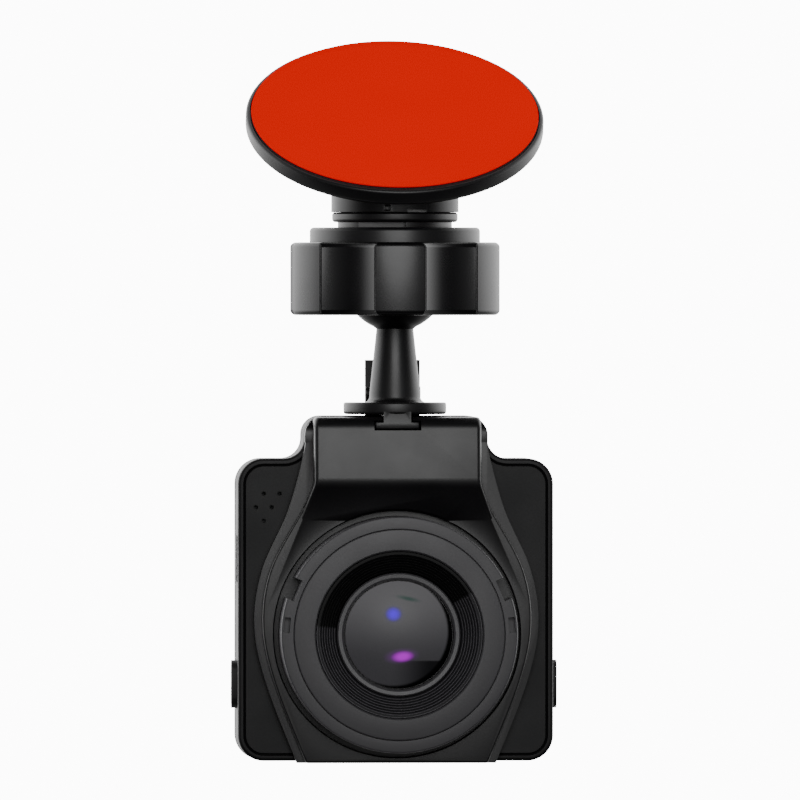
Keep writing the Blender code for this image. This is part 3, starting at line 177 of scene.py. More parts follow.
def moulded_plastic(name, dark, light, roughness, grain, relief, gloss=0.5):
    """Injection-moulded plastic: a faint flow mottle, a roughness that drifts, and a spark grain."""
    made, tree, shader = new_material(name, IOR=1.52, Specular_IOR_Level=gloss)
    where = add_node(tree, "TexCoord").outputs["Object"]
    mottle = add_node(tree, "TexNoise", {"Vector": where}, Scale=1 / (9 * MM), Detail=3.0)
    tint = add_node(tree, "Mix", {"Factor": mottle.outputs["Fac"]}, data_type='RGBA',
                    A=hex_colour(dark), B=hex_colour(light))
    drift = add_node(tree, "MapRange", {"Value": mottle.outputs["Fac"]}, From_Min=0.3, From_Max=0.7,
                     To_Min=roughness - 0.03, To_Max=roughness + 0.04)
    fine = add_node(tree, "TexNoise", {"Vector": where}, Scale=1 / grain, Detail=2.0)
    bump = add_node(tree, "Bump", {"Height": fine.outputs["Fac"]}, Strength=relief, Distance=0.03 * MM)
    join_up(tree, shader, Base_Color=tint.outputs["Result"], Roughness=drift.outputs["Result"],
            Normal=bump.outputs["Normal"])
    return made


def fit(piece, material, body, slot, *nodes):
    """Give a piece its material and name the body and CAD nodes that it stands for; the slot is not used."""
    piece.data.materials.clear()
    piece.data.materials.append(material)
    take_up(piece)
    bpy.ops.object.shade_smooth_by_angle(angle=math.radians(SMOOTH_ANGLE))
    piece.select_set(False)
    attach(piece, body)
    if nodes:
        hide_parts(*nodes)
    return piece


mounts = {mount["name"]: mount for mount in frame["record"]["mounts"]}
face_normal = Vector(mounts["adhesive_face"]["axis"])
windscreen_tilt = math.degrees(math.atan2(-face_normal.y, face_normal.z))
liner_radius = (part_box("release_liner")[1].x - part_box("release_liner")[0].x) / 2
liner_thickness = 0.25 * MM
edge = 0.1 * MM

liner = turned("peel_off_liner", [
    (liner_radius - edge, 0.0), (liner_radius, -edge), (liner_radius, -liner_thickness + edge),
    (liner_radius - edge, -liner_thickness)], steps=160)
stand(liner, windscreen_tilt)

# Polyester film dyed red under a silicone release coat, with a painted red glow from a faint emission that
# keeps it flat, even and bright.
red_film, tree, shader = new_material(
    "siliconised_red_polyester", Roughness=0.6, Specular_IOR_Level=0.0,
    Emission_Color=hex_colour("#FF0000"), Emission_Strength=0.3)
where = add_node(tree, "TexCoord").outputs["Object"]
cockle = add_node(tree, "TexNoise", {"Vector": where}, Scale=1 / (14 * MM), Detail=1.0)
film_tint = add_node(tree, "Mix", {"Factor": cockle.outputs["Fac"]}, data_type='RGBA',
                     A=hex_colour("#E60000"), B=hex_colour("#EE0000"))
lift = add_node(tree, "Bump", {"Height": cockle.outputs["Fac"]}, Strength=0.15, Distance=0.05 * MM)
join_up(tree, shader, Base_Color=film_tint.outputs["Result"], Normal=lift.outputs["Normal"])
fit(liner, red_film, "mount_base", "red_liner", "release_liner")

foam_top = -0.5 * MM
foam_bottom = -1.15 * MM
foam = turned("foam_tape", [
    (liner_radius - edge, foam_top), (liner_radius, foam_top - edge),
    (liner_radius - edge, (foam_top + foam_bottom) / 2), (liner_radius, foam_bottom + edge),
    (liner_radius - edge, foam_bottom)], steps=160)
stand(foam, windscreen_tilt)

# Closed-cell acrylic foam: matt, with cells of about a third of a millimetre at the cut edge.
acrylic_foam, tree, shader = new_material("black_acrylic_foam", Roughness=0.9)
where = add_node(tree, "TexCoord").outputs["Object"]
cells = add_node(tree, "TexVoronoi", {"Vector": where}, Scale=1 / (0.35 * MM))
cell_tint = add_node(tree, "Mix", {"Factor": cells.outputs["Distance"]}, data_type='RGBA',
                     A=hex_colour("#1B1B1C"), B=hex_colour("#3A3A3B"))
pores = add_node(tree, "Bump", {"Height": cells.outputs["Distance"]}, Strength=0.5, Distance=0.08 * MM)
join_up(tree, shader, Base_Color=cell_tint.outputs["Result"], Normal=pores.outputs["Normal"])
fit(foam, acrylic_foam, "mount_base", "foam", "adhesive_foam")


# ---------------------------------------------------------------- mount disc
# The disc that holds the tape, with an upright boss under it. It is one ABS moulding, bored
# and grooved for the lugs of the ball socket, which twists in and locks.
def block(name, low, high):
    """A block between two corners, ready to be shaped, joined or cut away."""
    deselect()
    low, high = Vector(low), Vector(high)
    bpy.ops.mesh.primitive_cube_add(size=1.0, location=(low + high) / 2)
    piece = bpy.context.object
    piece.name = name
    piece.scale = high - low
    bpy.ops.object.transform_apply(location=True, rotation=True, scale=True)
    return piece


def choose_faces(piece, chosen):
    """Open a piece in edit mode with the faces that pass a test selected."""
    edit(piece)
    bpy.ops.object.mode_set(mode='OBJECT')
    for face in piece.data.polygons:
        face.select = chosen(face)
    bpy.ops.object.mode_set(mode='EDIT')
    bpy.ops.mesh.select_mode(type='FACE')


def merge_flat(piece, angle):
    """Dissolve the needless edges of flat faces, up to an angle in degrees."""
    edit(piece)
    bpy.ops.mesh.select_all(action='SELECT')
    bpy.ops.mesh.dissolve_limited(angle_limit=math.radians(angle))
    return settle(piece)


def bevel_edges(piece, width, segments, chosen):
    """Bevel the edges whose two ends pass a test, in edit mode."""
    edit(piece)
    bpy.ops.object.mode_set(mode='OBJECT')
    for line in piece.data.edges:
        first, last = (piece.data.vertices[i].co for i in line.vertices)
        line.select = chosen(first, last)
    for corner in piece.data.vertices:
        corner.select = False
    for face in piece.data.polygons:
        face.select = False
    bpy.ops.object.mode_set(mode='EDIT')
    bpy.ops.mesh.select_mode(type='EDGE')
    bpy.ops.mesh.bevel(offset=width, segments=segments, affect='EDGES')
    return settle(piece)


def combine(piece, operation, *others):
    """Join or cut a piece with others, which are used up."""
    for other in others:
        apply_modifier(piece, 'BOOLEAN', operation=operation, solver='MANIFOLD', object=other)
        bpy.data.objects.remove(other, do_unlink=True)
    return piece


def soften(piece, width, segments=3, angle=40.0):
    """Round every edge sharper than the angle."""
    return apply_modifier(piece, 'BEVEL', width=width, segments=segments, limit_method='ANGLE',
                          angle_limit=math.radians(angle), harden_normals=False, miter_outer='MITER_ARC')


disc_radius = 26.1 * MM
disc_depth = 3.5 * MM
rim_drop = 0.45 * MM
recess_floor = -1.4 * MM
rim_round = 0.55 * MM
plate = turned("mount_plate", (
    [(liner_radius - 0.4 * MM, recess_floor), (liner_radius + 0.25 * MM, recess_floor),
     (liner_radius + 0.25 * MM, -rim_drop)]
    + arc((disc_radius - rim_round, -rim_drop - rim_round), rim_round, 80, 0, 5)
    + arc((disc_radius - 1.0 * MM, -disc_depth + 1.0 * MM), 1.0 * MM, 0, -90, 6)
    + [(disc_radius - 4.6 * MM, -disc_depth), (disc_radius - 5.0 * MM, -disc_depth + 0.4 * MM),
       (disc_radius - 6.2 * MM, -disc_depth + 0.4 * MM), (disc_radius - 6.6 * MM, -disc_depth)]),
    steps=160)
stand(plate, windscreen_tilt)

ball_socket_low, ball_socket_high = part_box("ball_socket")
plate_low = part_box("mount_disc")[0]
boss_radius = 11.15 * MM
boss_bottom = plate_low.z
spigot_top = ball_socket_high.z
deselect()
uncut_length = 2.0
bpy.ops.mesh.primitive_cylinder_add(vertices=96, radius=boss_radius, depth=uncut_length)
boss = bpy.context.object
boss.name = "boss"
edit(boss)
bpy.ops.mesh.select_all(action='SELECT')
bpy.ops.mesh.bisect(plane_co=(0, 0, boss_bottom), plane_no=(0, 0, -1), use_fill=True, clear_outer=True)
bpy.ops.mesh.select_all(action='SELECT')
inside_plate = face_normal * -2.4 * MM
bpy.ops.mesh.bisect(plane_co=inside_plate, plane_no=face_normal, use_fill=True, clear_outer=True)
settle(boss)
apply_modifier(boss, 'BEVEL', width=0.35 * MM, segments=3, limit_method='ANGLE',
               angle_limit=math.radians(60))
combine(plate, 'UNION', boss)

bore_radius = 7.85 * MM
groove_radius = 8.95 * MM
groove_floor = spigot_top - 1.7 * MM
bore = turned("spigot_bore", [
    (groove_radius, spigot_top + 0.25 * MM), (groove_radius, groove_floor), (bore_radius, groove_floor),
    (bore_radius, boss_bottom - 1 * MM)], steps=96)
lock_mark = block("lock_mark", (1.6 * MM, -boss_radius - 1 * MM, boss_bottom - 1 * MM),
                  (5.3 * MM, -boss_radius + 1.2 * MM, boss_bottom + 0.45 * MM))
combine(plate, 'DIFFERENCE', bore, lock_mark)
index_bump = block("index_bump", (-2.5 * MM, -boss_radius - 0.35 * MM, boss_bottom + 0.2 * MM),
                   (-1.3 * MM, -boss_radius + 1.0 * MM, boss_bottom + 1.3 * MM))
soften(index_bump, 0.25 * MM)
combine(plate, 'UNION', index_bump)

# Black ABS from a polished tool: near-black with a soft gloss that catches light along the rim.
mount_abs = moulded_plastic("satin_black_abs_mount", "#141315", "#19181A", 0.34, 0.28 * MM, 0.10)
fit(plate, mount_abs, "mount_base", "black_moulding", "mount_disc")


# ---------------------------------------------------------------- ball socket
# The upper half of the ball joint, moulded in ABS. Its spigot twists into the boss, and the
# collar carries the lock nut's thread. A window in the neck gives the ball room to flex.
ball = Vector((0, 0, -29.0 * MM))
socket_top = boss_bottom - 0.04 * MM
ring_radius = 11.0 * MM
ring_bottom = boss_bottom - 1.75 * MM
neck_radius = 10.0 * MM
collar_top = ring_bottom - 0.9 * MM
collar_radius = ball_socket_high.x
skirt = ball_socket_low.z
spigot_radius = 7.6 * MM
cavity_radius = 10.35 * MM
thread_pitch = 1.5 * MM
thread_depth = 0.45 * MM


def on_ball(radius, start, end, steps):
    """Profile points on a sphere about the ball's centre, with angles from its upper pole."""
    angles = (math.radians(start + (end - start) * i / steps) for i in range(steps + 1))
    return [(radius * math.sin(a), ball.z + radius * math.cos(a)) for a in angles]


def ball_angle(radius, height):
    """The angle from the upper pole at which a sphere about the ball's centre reaches a height."""
    return math.degrees(math.acos((height - ball.z) / radius))


thread_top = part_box("lock_nut")[1].z - 0.6 * MM
thread_turns = int((thread_top - skirt - 0.8 * MM) / thread_pitch)
thread = []
for turn in range(thread_turns):
    crest = thread_top - turn * thread_pitch
    root = collar_radius - thread_depth
    thread += [(collar_radius, crest), (root, crest - 0.35 * thread_pitch),
               (root, crest - 0.65 * thread_pitch), (collar_radius, crest - thread_pitch)]
socket = turned("ball_socket_moulding", (
    [(0.3 * MM, spigot_top), (spigot_radius - 0.4 * MM, spigot_top), (spigot_radius, spigot_top - 0.4 * MM),
     (spigot_radius, socket_top), (ring_radius - 0.3 * MM, socket_top), (ring_radius, socket_top - 0.3 * MM)]
    + arc((ring_radius - 0.6 * MM, ring_bottom + 0.6 * MM), 0.6 * MM, 0, -90, 5)
    + [(neck_radius, ring_bottom), (neck_radius, collar_top)]
    + arc((collar_radius - 0.7 * MM, collar_top - 0.7 * MM), 0.7 * MM, 90, 0, 5)
    + thread + [(collar_radius, skirt + 0.4 * MM), (collar_radius - 0.4 * MM, skirt)]
    + on_ball(cavity_radius, ball_angle(cavity_radius, skirt), 2.0, 24)), steps=128)
lug_reach = 8.7 * MM
lugs = block("twist_lugs", (-1.7 * MM, -lug_reach, spigot_top - 1.2 * MM),
             (1.7 * MM, lug_reach, spigot_top))
soften(lugs, 0.2 * MM, 2)
neck_window = block("neck_window", (-neck_radius - 2 * MM, -neck_radius - 2 * MM, collar_top),
                    (1.4 * MM, -neck_radius + 2.6 * MM, ring_bottom))
combine(socket, 'UNION', lugs)
combine(socket, 'DIFFERENCE', neck_window)
fit(socket, mount_abs, "socket", "black_moulding", "ball_socket")


# ---------------------------------------------------------------- friction pads
# Thin acetal cups that grip the ball above and below, so that it holds where it is set.
# The CAD solids already have their shape, and they hide inside the joint.
def noisy_solid(name, dark, light, roughness, patch, metallic=0.0, relief=0.1, **shader_values):
    """A plain solid surface whose colour and roughness vary over patches of a real size."""
    made, tree, shader = new_material(name, Metallic=metallic, **shader_values)
    where = add_node(tree, "TexCoord").outputs["Object"]
    patches = add_node(tree, "TexNoise", {"Vector": where}, Scale=1 / patch, Detail=4.0)
    tint = add_node(tree, "Mix", {"Factor": patches.outputs["Fac"]}, data_type='RGBA',
                    A=hex_colour(dark), B=hex_colour(light))
    rough = add_node(tree, "MapRange", {"Value": patches.outputs["Fac"]}, To_Min=roughness - 0.08,
                     To_Max=roughness + 0.08)
    bump = add_node(tree, "Bump", {"Height": patches.outputs["Fac"]}, Strength=relief, Distance=0.05 * MM)
    join_up(tree, shader, Base_Color=tint.outputs["Result"], Roughness=rough.outputs["Result"],
            Normal=bump.outputs["Normal"])
    return made


def finish_node(name, material):
    """Give a CAD node that keeps its shape a finished material."""
    node = frame["nodes"][name]
    node.data.materials.clear()
    node.data.materials.append(material)


# Moulded friction rubber: matt, slightly dusty.
friction_rubber = noisy_solid("friction_rubber", "#1F1F1F", "#2B2B2A", 0.8, 0.8 * MM)
for name in ("upper_friction_pad", "lower_friction_pad"):
    finish_node(name, friction_rubber)


# ---------------------------------------------------------------- lock nut
# The hand nut that clamps the ball: a thick ABS moulding with six lobes and a hollow scallop
# between each two for the fingers. It screws up the socket's collar.
nut_low, nut_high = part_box("lock_nut")
nut_radius = -nut_low.y
nut_lobes = 6
lobe_angle = 27.0
scallop_radius = 13.0 * MM
nut_round = 0.9 * MM
nut_height = nut_high.z - nut_low.z
nut_core = 14.0 * MM
nut = turned("hand_nut", (
    [(nut_core, 0.0)] + arc((nut_radius - nut_round, nut_round), nut_round, -90, 0, 6)
    + arc((nut_radius - nut_round, nut_height - nut_round), nut_round, 0, 90, 6)
    + [(nut_core, nut_height)]), steps=192)
stand(nut, place=(0, 0, nut_low.z))
gap_half = math.radians((360 / nut_lobes - lobe_angle) / 2)
chord_half = nut_radius * math.sin(gap_half)
scallop_place = nut_radius * math.cos(gap_half) + math.sqrt(scallop_radius ** 2 - chord_half ** 2)
lead_in = [(2.2 * nut_round, -nut_round), (nut_round, 0.0), (0.35 * nut_round, 0.35 * nut_round),
           (0.0, nut_round)]
scallop_profile = [(scallop_radius + out, up) for out, up in lead_in]
scallop_profile += [(scallop_radius + out, nut_height - up) for out, up in reversed(lead_in)]
for lobe in range(nut_lobes):
    valley = math.radians(-90 + 360 / nut_lobes * (lobe + 0.5))
    scallop = turned(f"scallop_{lobe}", scallop_profile, steps=96)
    stand(scallop, place=(scallop_place * math.cos(valley), scallop_place * math.sin(valley), nut_low.z))
    combine(nut, 'DIFFERENCE', scallop)
soften(nut, 0.3 * MM, 3, 28.0)
crease_radius = 0.22 * MM
crease_place = nut_radius - 0.12 * MM
for lobe in range(nut_lobes):
    for side in (-1, 1):
        angle = math.radians(-90 + 360 / nut_lobes * lobe + side * lobe_angle / 2)
        crease = turned("crease", [(crease_radius, -1 * MM), (crease_radius, nut_height + 1 * MM)], steps=12)
        stand(crease, place=(crease_place * math.cos(angle), crease_place * math.sin(angle), nut_low.z))
        combine(nut, 'DIFFERENCE', crease)
nut_bore = 15.15 * MM
shoulder = skirt - 0.35 * MM
lip_top = nut_low.z + 1.05 * MM
lip_radius = 9.45 * MM
cavity = turned("nut_bore", (
    [(nut_bore + 0.6 * MM, nut_high.z + 0.1 * MM), (nut_bore, nut_high.z - 0.5 * MM), (nut_bore, shoulder)]
    + on_ball(cavity_radius, ball_angle(cavity_radius, shoulder), ball_angle(cavity_radius, lip_top), 8)
    + on_ball(lip_radius, ball_angle(lip_radius, lip_top), ball_angle(lip_radius, nut_low.z + 0.3 * MM), 4)
    + [(7.2 * MM, nut_low.z - 0.5 * MM)]), steps=128)
combine(nut, 'DIFFERENCE', cavity)

# The same black ABS with a spark-eroded grain of about a third of a millimetre for grip.
nut_abs = moulded_plastic("grained_black_abs_nut", "#100F11", "#151416", 0.25, 0.3 * MM, 0.08)
fit(nut, nut_abs, "nut", "black_moulding", "lock_nut")


# ---------------------------------------------------------------- ball stem and foot
# Ball, tapering stem, round foot and slide rail in one glass-filled nylon moulding. The rail
# slides into the slot in the camera's top, and the ear at the back carries the latch.
stem_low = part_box("ball_stem")[0]
ball_radius = 9.15 * MM
stem_top_radius = 3.15 * MM
stem_foot_radius = 4.75 * MM
foot_radius = 9.0 * MM
foot_top = -50.6 * MM
foot_bottom = -52.7 * MM
flat_back = 7.6 * MM
rail_top = -54.0 * MM
rail_bottom = stem_low.z
neck_angle = 180 - math.degrees(math.asin(stem_top_radius / ball_radius))
stem = turned("ball_and_stem", (
    [(0.25 * MM, ball.z + ball_radius)] + on_ball(ball_radius, 3.0, neck_angle - 4.0, 40)
    + [(stem_top_radius + 0.1 * MM, ball.z - 8.75 * MM), (stem_top_radius + 0.15 * MM, ball.z - 9.3 * MM),
       (stem_foot_radius - 0.3 * MM, foot_top + 1.6 * MM)]
    + arc((stem_foot_radius + 0.75 * MM, foot_top + 1.05 * MM), 1.05 * MM, 180, 262, 5)
    + arc((foot_radius - 0.35 * MM, foot_top - 0.35 * MM), 0.35 * MM, 90, 0, 4)
    + arc((foot_radius - 0.5 * MM, foot_bottom + 0.5 * MM), 0.5 * MM, 0, -90, 4)
    + [(1.5 * MM, foot_bottom)]), steps=96)
ear_top = -47.7 * MM
ear_half = 1.4 * MM
ear = block("latch_ear", (-ear_half, 3.0 * MM, foot_top - 0.5 * MM), (ear_half, flat_back, ear_top))
bevel_edges(ear, 0.8 * MM, 5, lambda a, b: min(a.z, b.z) > ear_top - TOUCHING and min(a.y, b.y) > 7.5 * MM)
rail_front = -8.8 * MM
rail_back = 6.5 * MM
rail_neck = block("rail_neck", (-2.4 * MM, rail_front, rail_top - 0.4 * MM),
                  (2.4 * MM, rail_back, foot_bottom + 0.5 * MM))
rail_head = block("rail_head", (-3.85 * MM, rail_front, rail_bottom), (3.85 * MM, rail_back, rail_top))
soften(rail_head, 0.2 * MM, 2)
combine(stem, 'UNION', ear, rail_neck, rail_head)
foot_flat = block("foot_flat", (-foot_radius, flat_back, foot_bottom - 1 * MM),
                  (foot_radius, foot_radius + 2 * MM, foot_top + 0.1 * MM))
pin_way = 0.85 * MM
ear_bore = turned("ear_bore", [(pin_way, -3 * MM), (pin_way, 3 * MM)], steps=32)
stand(ear_bore, 90, 90, place=(0, 6.4 * MM, -49.1 * MM))
combine(stem, 'DIFFERENCE', foot_flat, ear_bore)
fit(stem, mount_abs, "camera", "black_moulding", "ball_stem")


# ---------------------------------------------------------------- release latch
# A rocking thumb lever on a steel pin in the stem's ear. Its hook drops into the casing and
# stops the foot sliding; pressing the plate towards the stem lifts the hook.
def refined(name, node, width, segments=3, angle=40.0):
    """A copy of a CAD node's mesh, merged, cleared of needless edges and given rounded ones."""
    piece = frame["nodes"][node].copy()
    piece.data = frame["nodes"][node].data.copy()
    piece.name = name
    piece.parent = None
    bpy.context.scene.collection.objects.link(piece)
    edit(piece)
    bpy.ops.mesh.select_all(action='SELECT')
    bpy.ops.mesh.remove_doubles(threshold=0.002 * MM)
    bpy.ops.mesh.dissolve_limited(angle_limit=math.radians(1.0))
    settle(piece)
    if width:
        soften(piece, width, segments, angle)
    return piece


latch = refined("thumb_latch", "release_tab", 0.22 * MM)
# A matt black nylon, slightly greyer than the casing.
black_nylon = moulded_plastic("matt_black_nylon", "#0D0C0E", "#121113", 0.52, 0.3 * MM, 0.2)
fit(latch, black_nylon, "release_tab_body", "matt_black", "release_tab")

pin_low, pin_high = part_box("tab_pin")
pin_round = 0.15 * MM
pin_radius = (pin_high.z - pin_low.z) / 2
pin = turned("latch_pin", [
    (pin_radius - pin_round, pin_low.x), (pin_radius, pin_low.x + pin_round),
    (pin_radius, pin_high.x - pin_round), (pin_radius - pin_round, pin_high.x)], steps=32)
stand(pin, 90, 90, place=(0, (pin_low.y + pin_high.y) / 2, (pin_low.z + pin_high.z) / 2))
# Zinc-plated steel: a cool, faintly mottled metal.
zinc_steel = noisy_solid("zinc_plated_steel", "#9EA1A6", "#C2C5C9", 0.3, 1.2 * MM, metallic=1.0)
fit(pin, zinc_steel, "camera", "steel", "tab_pin")


# ---------------------------------------------------------------- front shell
# The front half of the casing: a square ABS box with a hump that holds the foot's slide. Its
# face has a raised rim with a fine groove inside it, and a patch of drilled sound holes.
body_low, body_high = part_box("front_shell")
cover_low, cover_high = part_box("rear_cover")
body_half = body_high.x
hump_top = body_high.z
body_bottom = body_low.z
hump_half = 16.05 * MM
wing_top = hump_top - 7.45 * MM
wall = 1.6 * MM
hump_sweep = 3.5 * MM
hump_corner = 3.3 * MM
body_corner = 4.5 * MM
broad = 500 * MM * MM


def upright(first, last):
    """True for an edge along Y."""
    return abs(first.x - last.x) < TOUCHING / 10 and abs(first.z - last.z) < TOUCHING / 10


def through_wall(first, last):
    """True for an edge that runs along X, through a side wall."""
    return abs(first.x - last.x) > 1 * MM


def through_face(first, last):
    """True for an edge that runs along Y, through a front or back face."""
    return abs(first.y - last.y) > 1 * MM


def casing(name, front, back):
    """The casing's outline as a block: hump drawn up from the top face, then rounded corners."""
    piece = block(name, (-body_half, front, body_bottom), (body_half, back, wing_top))
    edit(piece)
    for side in (-1, 1):
        bpy.ops.mesh.select_all(action='SELECT')
        bpy.ops.mesh.bisect(plane_co=(side * hump_half, 0, 0), plane_no=(1, 0, 0))
    choose_faces(piece, lambda face: face.normal.z > 0.9 and abs(face.center.x) < hump_half)
    bpy.ops.mesh.extrude_region_move(TRANSFORM_OT_translate={"value": (0, 0, hump_top - wing_top)})
    merge_flat(piece, 1.0)
    bevel_edges(piece, hump_sweep, 10, lambda a, b: upright(a, b) and abs(abs(a.x) - hump_half) < TOUCHING
                and abs(a.z - wing_top) < TOUCHING)
    bevel_edges(piece, hump_corner, 10, lambda a, b: upright(a, b) and a.z > hump_top - TOUCHING)
    bevel_edges(piece, body_corner, 12, lambda a, b: upright(a, b) and abs(abs(a.x) - body_half) < TOUCHING)
    return piece


def hollow(piece, front, back, roof):
    """Cut the room inside a casing: a rounded block, and a smaller one up into the hump."""
    half = body_half - wall
    room = block("room", (-half, front, body_bottom + wall), (half, back, wing_top - wall))
    bevel_edges(room, body_corner - wall, 12, upright)
    hump_room = block("hump_room", (-hump_half + wall, front, wing_top - 3 * wall),
                      (hump_half - wall, back, roof))
    return combine(piece, 'DIFFERENCE', room, hump_room)


def part_line(piece, side):
    """Chamfer the outline where two casings meet, so that the closed joint shows as a fine groove."""
    choose_faces(piece, lambda face: face.normal.y * side > 0.999 and face.area > broad)
    bpy.ops.mesh.bevel(offset=0.14 * MM, segments=2, affect='EDGES')
    return settle(piece)


def middle_of(node):
    """A node's middle, across and up."""
    low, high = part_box(node)
    return (low.x + high.x) / 2, (low.z + high.z) / 2


def slide_ways(front):
    """Cutters for the foot's slot and for the wider room under it, open at the front."""
    slot = block("slot", (-2.65 * MM, front, rail_top - 0.1 * MM), (2.65 * MM, slide_end, hump_top + 1 * MM))
    room = block("slot_room", (-4.1 * MM, front, rail_bottom - gap), (4.1 * MM, slide_end, rail_top + gap))
    return slot, room


def drill(name, radius, place, start, end, steps=24):
    """A cutter for a hole along Y between two depths."""
    hole = turned(name, [(radius, -end), (radius, -start)], steps=steps)
    return stand(hole, 90, place=(place[0], 0, place[1]))


wing_front = body_low.y
split = body_high.y
shell = casing("front_casing", wing_front, split)
choose_faces(shell, lambda face: face.normal.y < -0.9)
bpy.ops.mesh.bevel(offset=0.55 * MM, segments=5, affect='EDGES')
settle(shell)
choose_faces(shell, lambda face: face.normal.y < -0.999 and face.area > broad)
bpy.ops.mesh.inset(thickness=0.35 * MM, use_even_offset=True)
bpy.ops.mesh.inset(thickness=0.28 * MM, use_even_offset=True, depth=-0.3 * MM)
bpy.ops.mesh.inset(thickness=0.22 * MM, use_even_offset=True, depth=0.22 * MM)
settle(shell)
part_line(shell, 1)
hollow(shell, wing_front + wall, split + 4 * MM, hump_top - 4.3 * MM)

usb_low, usb_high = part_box("usb_socket")
card_low, card_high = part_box("memory_card")
gap = 0.25 * MM
usb_way = block("usb_way", (-body_half - 1 * MM, usb_low.y - gap, usb_low.z - gap),
                (-body_half + wall + 1 * MM, usb_high.y + gap, usb_high.z + gap))
bevel_edges(usb_way, 0.5 * MM, 4, through_wall)
card_way = block("card_way", (body_half - wall - 1 * MM, card_low.y - gap, card_low.z - gap),
                 (body_half + 1 * MM, card_high.y + gap, card_high.z + gap))
combine(shell, 'DIFFERENCE', usb_way, card_way)

sound_pitch = 2.75 * MM
for row, columns in enumerate((2, 2, 1)):
    for column in range(columns):
        x = -body_half + 4.5 * MM + (column - 0.5 * (row % 2)) * sound_pitch
        z = wing_top - 6.15 * MM - row * sound_pitch * math.sin(math.radians(60))
        hole = drill(f"sound_hole_{row}_{column}", 0.42 * MM, (x, z), wing_front - 1 * MM,
                     wing_front + wall + 1 * MM, steps=6)
        combine(shell, 'DIFFERENCE', hole)

button_y = 2.0 * MM
button_z = middle_of("left_button")[1]
half_depth = 2.25 * MM
half_height = 4.45 * MM
for side in (-1, 1):
    low = (side * body_half - 3 * MM, button_y - half_depth, button_z - half_height)
    high = (side * body_half + 3 * MM, button_y + half_depth, button_z + half_height)
    opening = block(f"button_way_{side}", low, high)
    bevel_edges(opening, 2.2 * MM, 8, through_wall)
    combine(shell, 'DIFFERENCE', opening)

slide_end = 6.75 * MM
voice_radius = 0.5 * MM
voice_hole = turned("voice_hole", [(voice_radius, body_bottom - 1 * MM),
                                   (voice_radius, body_bottom + wall + 1 * MM)], steps=24)
stand(voice_hole, place=(-12 * MM, 1.0 * MM, 0))
lens_low, lens_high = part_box("lens_bezel")
lens_z = (lens_low.z + lens_high.z) / 2
lens_way = 14.6 * MM
lens_hole = drill("lens_hole", lens_way, (0, lens_z), wing_front - 1 * MM, wing_front + wall + 1 * MM,
                  steps=64)
combine(shell, 'DIFFERENCE', *slide_ways(wing_front - 2 * MM), voice_hole, lens_hole)

# Black ABS from a spark-eroded tool: an even fine grain that stays dark and spreads highlights.
grained_abs = moulded_plastic("grained_black_abs", "#0C0B0D", "#111012", 0.46, 0.32 * MM, 0.18,
                              gloss=0.28)
fit(shell, grained_abs, "camera", "black_moulding", "front_shell")


# ---------------------------------------------------------------- rear cover
# The back half of the casing, in the same ABS, with a softly rounded rear edge. It frames the
# display, has four key openings under it, and is held by four screws in deep seats.
cover = casing("rear_casing", split, cover_high.y)
choose_faces(cover, lambda face: face.normal.y > 0.9)
bpy.ops.mesh.bevel(offset=1.2 * MM, segments=6, affect='EDGES')
settle(cover)
part_line(cover, -1)
hollow(cover, cover_low.y - 4 * MM, cover_high.y - wall, hump_top - wall - 1.4 * MM)

window_low, window_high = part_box("display_window")
window_way = block("window_way", (window_low.x - gap, cover_high.y - 4 * MM, window_low.z - gap),
                   (window_high.x + gap, cover_high.y + 1 * MM, window_high.z + gap))
bevel_edges(window_way, 1.6 * MM, 8, through_face)
combine(cover, 'DIFFERENCE', window_way)
key_names = [f"rear_key_{i}" for i in (1, 2, 3, 4)]
key_half_width = 3.5 * MM
key_half_height = 1.7 * MM
for name in key_names:
    x, z = middle_of(name)
    key_way = block(
        name + "_way", (x - key_half_width - gap, cover_high.y - 4 * MM, z - key_half_height - gap),
        (x + key_half_width + gap, cover_high.y + 1 * MM, z + key_half_height + gap))
    bevel_edges(key_way, 1.0 * MM, 6, through_face)
    combine(cover, 'DIFFERENCE', key_way)

screw_names = [f"casing_screw_{row}_{side}" for row in ("upper", "lower") for side in ("left", "right")]
screw_seat = 11.1 * MM
post_radius = 2.3 * MM
shank_way = 1.1 * MM
head_way = 2.0 * MM
for name in screw_names:
    x, z = middle_of(name)
    post = drill(name + "_post", post_radius, (x, z), cover_low.y + 0.05 * MM, cover_high.y - wall / 2,
                 steps=40)
    combine(cover, 'UNION', post)
    seat = turned(name + "_seat", [
        (shank_way, -cover_low.y + 1 * MM), (shank_way, -screw_seat), (head_way, -screw_seat),
        (head_way, -cover_high.y + 0.25 * MM), (post_radius, -cover_high.y - 0.05 * MM),
        (post_radius, -cover_high.y - 1 * MM)], steps=40)
    stand(seat, 90, place=(x, 0, z))
    combine(cover, 'DIFFERENCE', seat)
latch_pocket = block("latch_pocket", (-5.05 * MM, cover_low.y - 1 * MM, hump_top - 1.0 * MM),
                     (5.05 * MM, 11.3 * MM, hump_top + 1 * MM))
combine(cover, 'DIFFERENCE', latch_pocket)
fit(cover, grained_abs, "camera", "black_moulding", "rear_cover")


# ---------------------------------------------------------------- front fascia
# A waisted two-step cover over the front shell, with a block that fills the hump and a round
# well for the lens. It is one ABS moulding, finer and glossier than the shell.
fascia_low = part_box("front_fascia")[0]
bezel_radius = lens_high.x
tier_front = -5.2 * MM
panel_front = -7.2 * MM
block_front = fascia_low.y
fascia_back = wing_front
widest = bezel_radius + 4.2 * MM


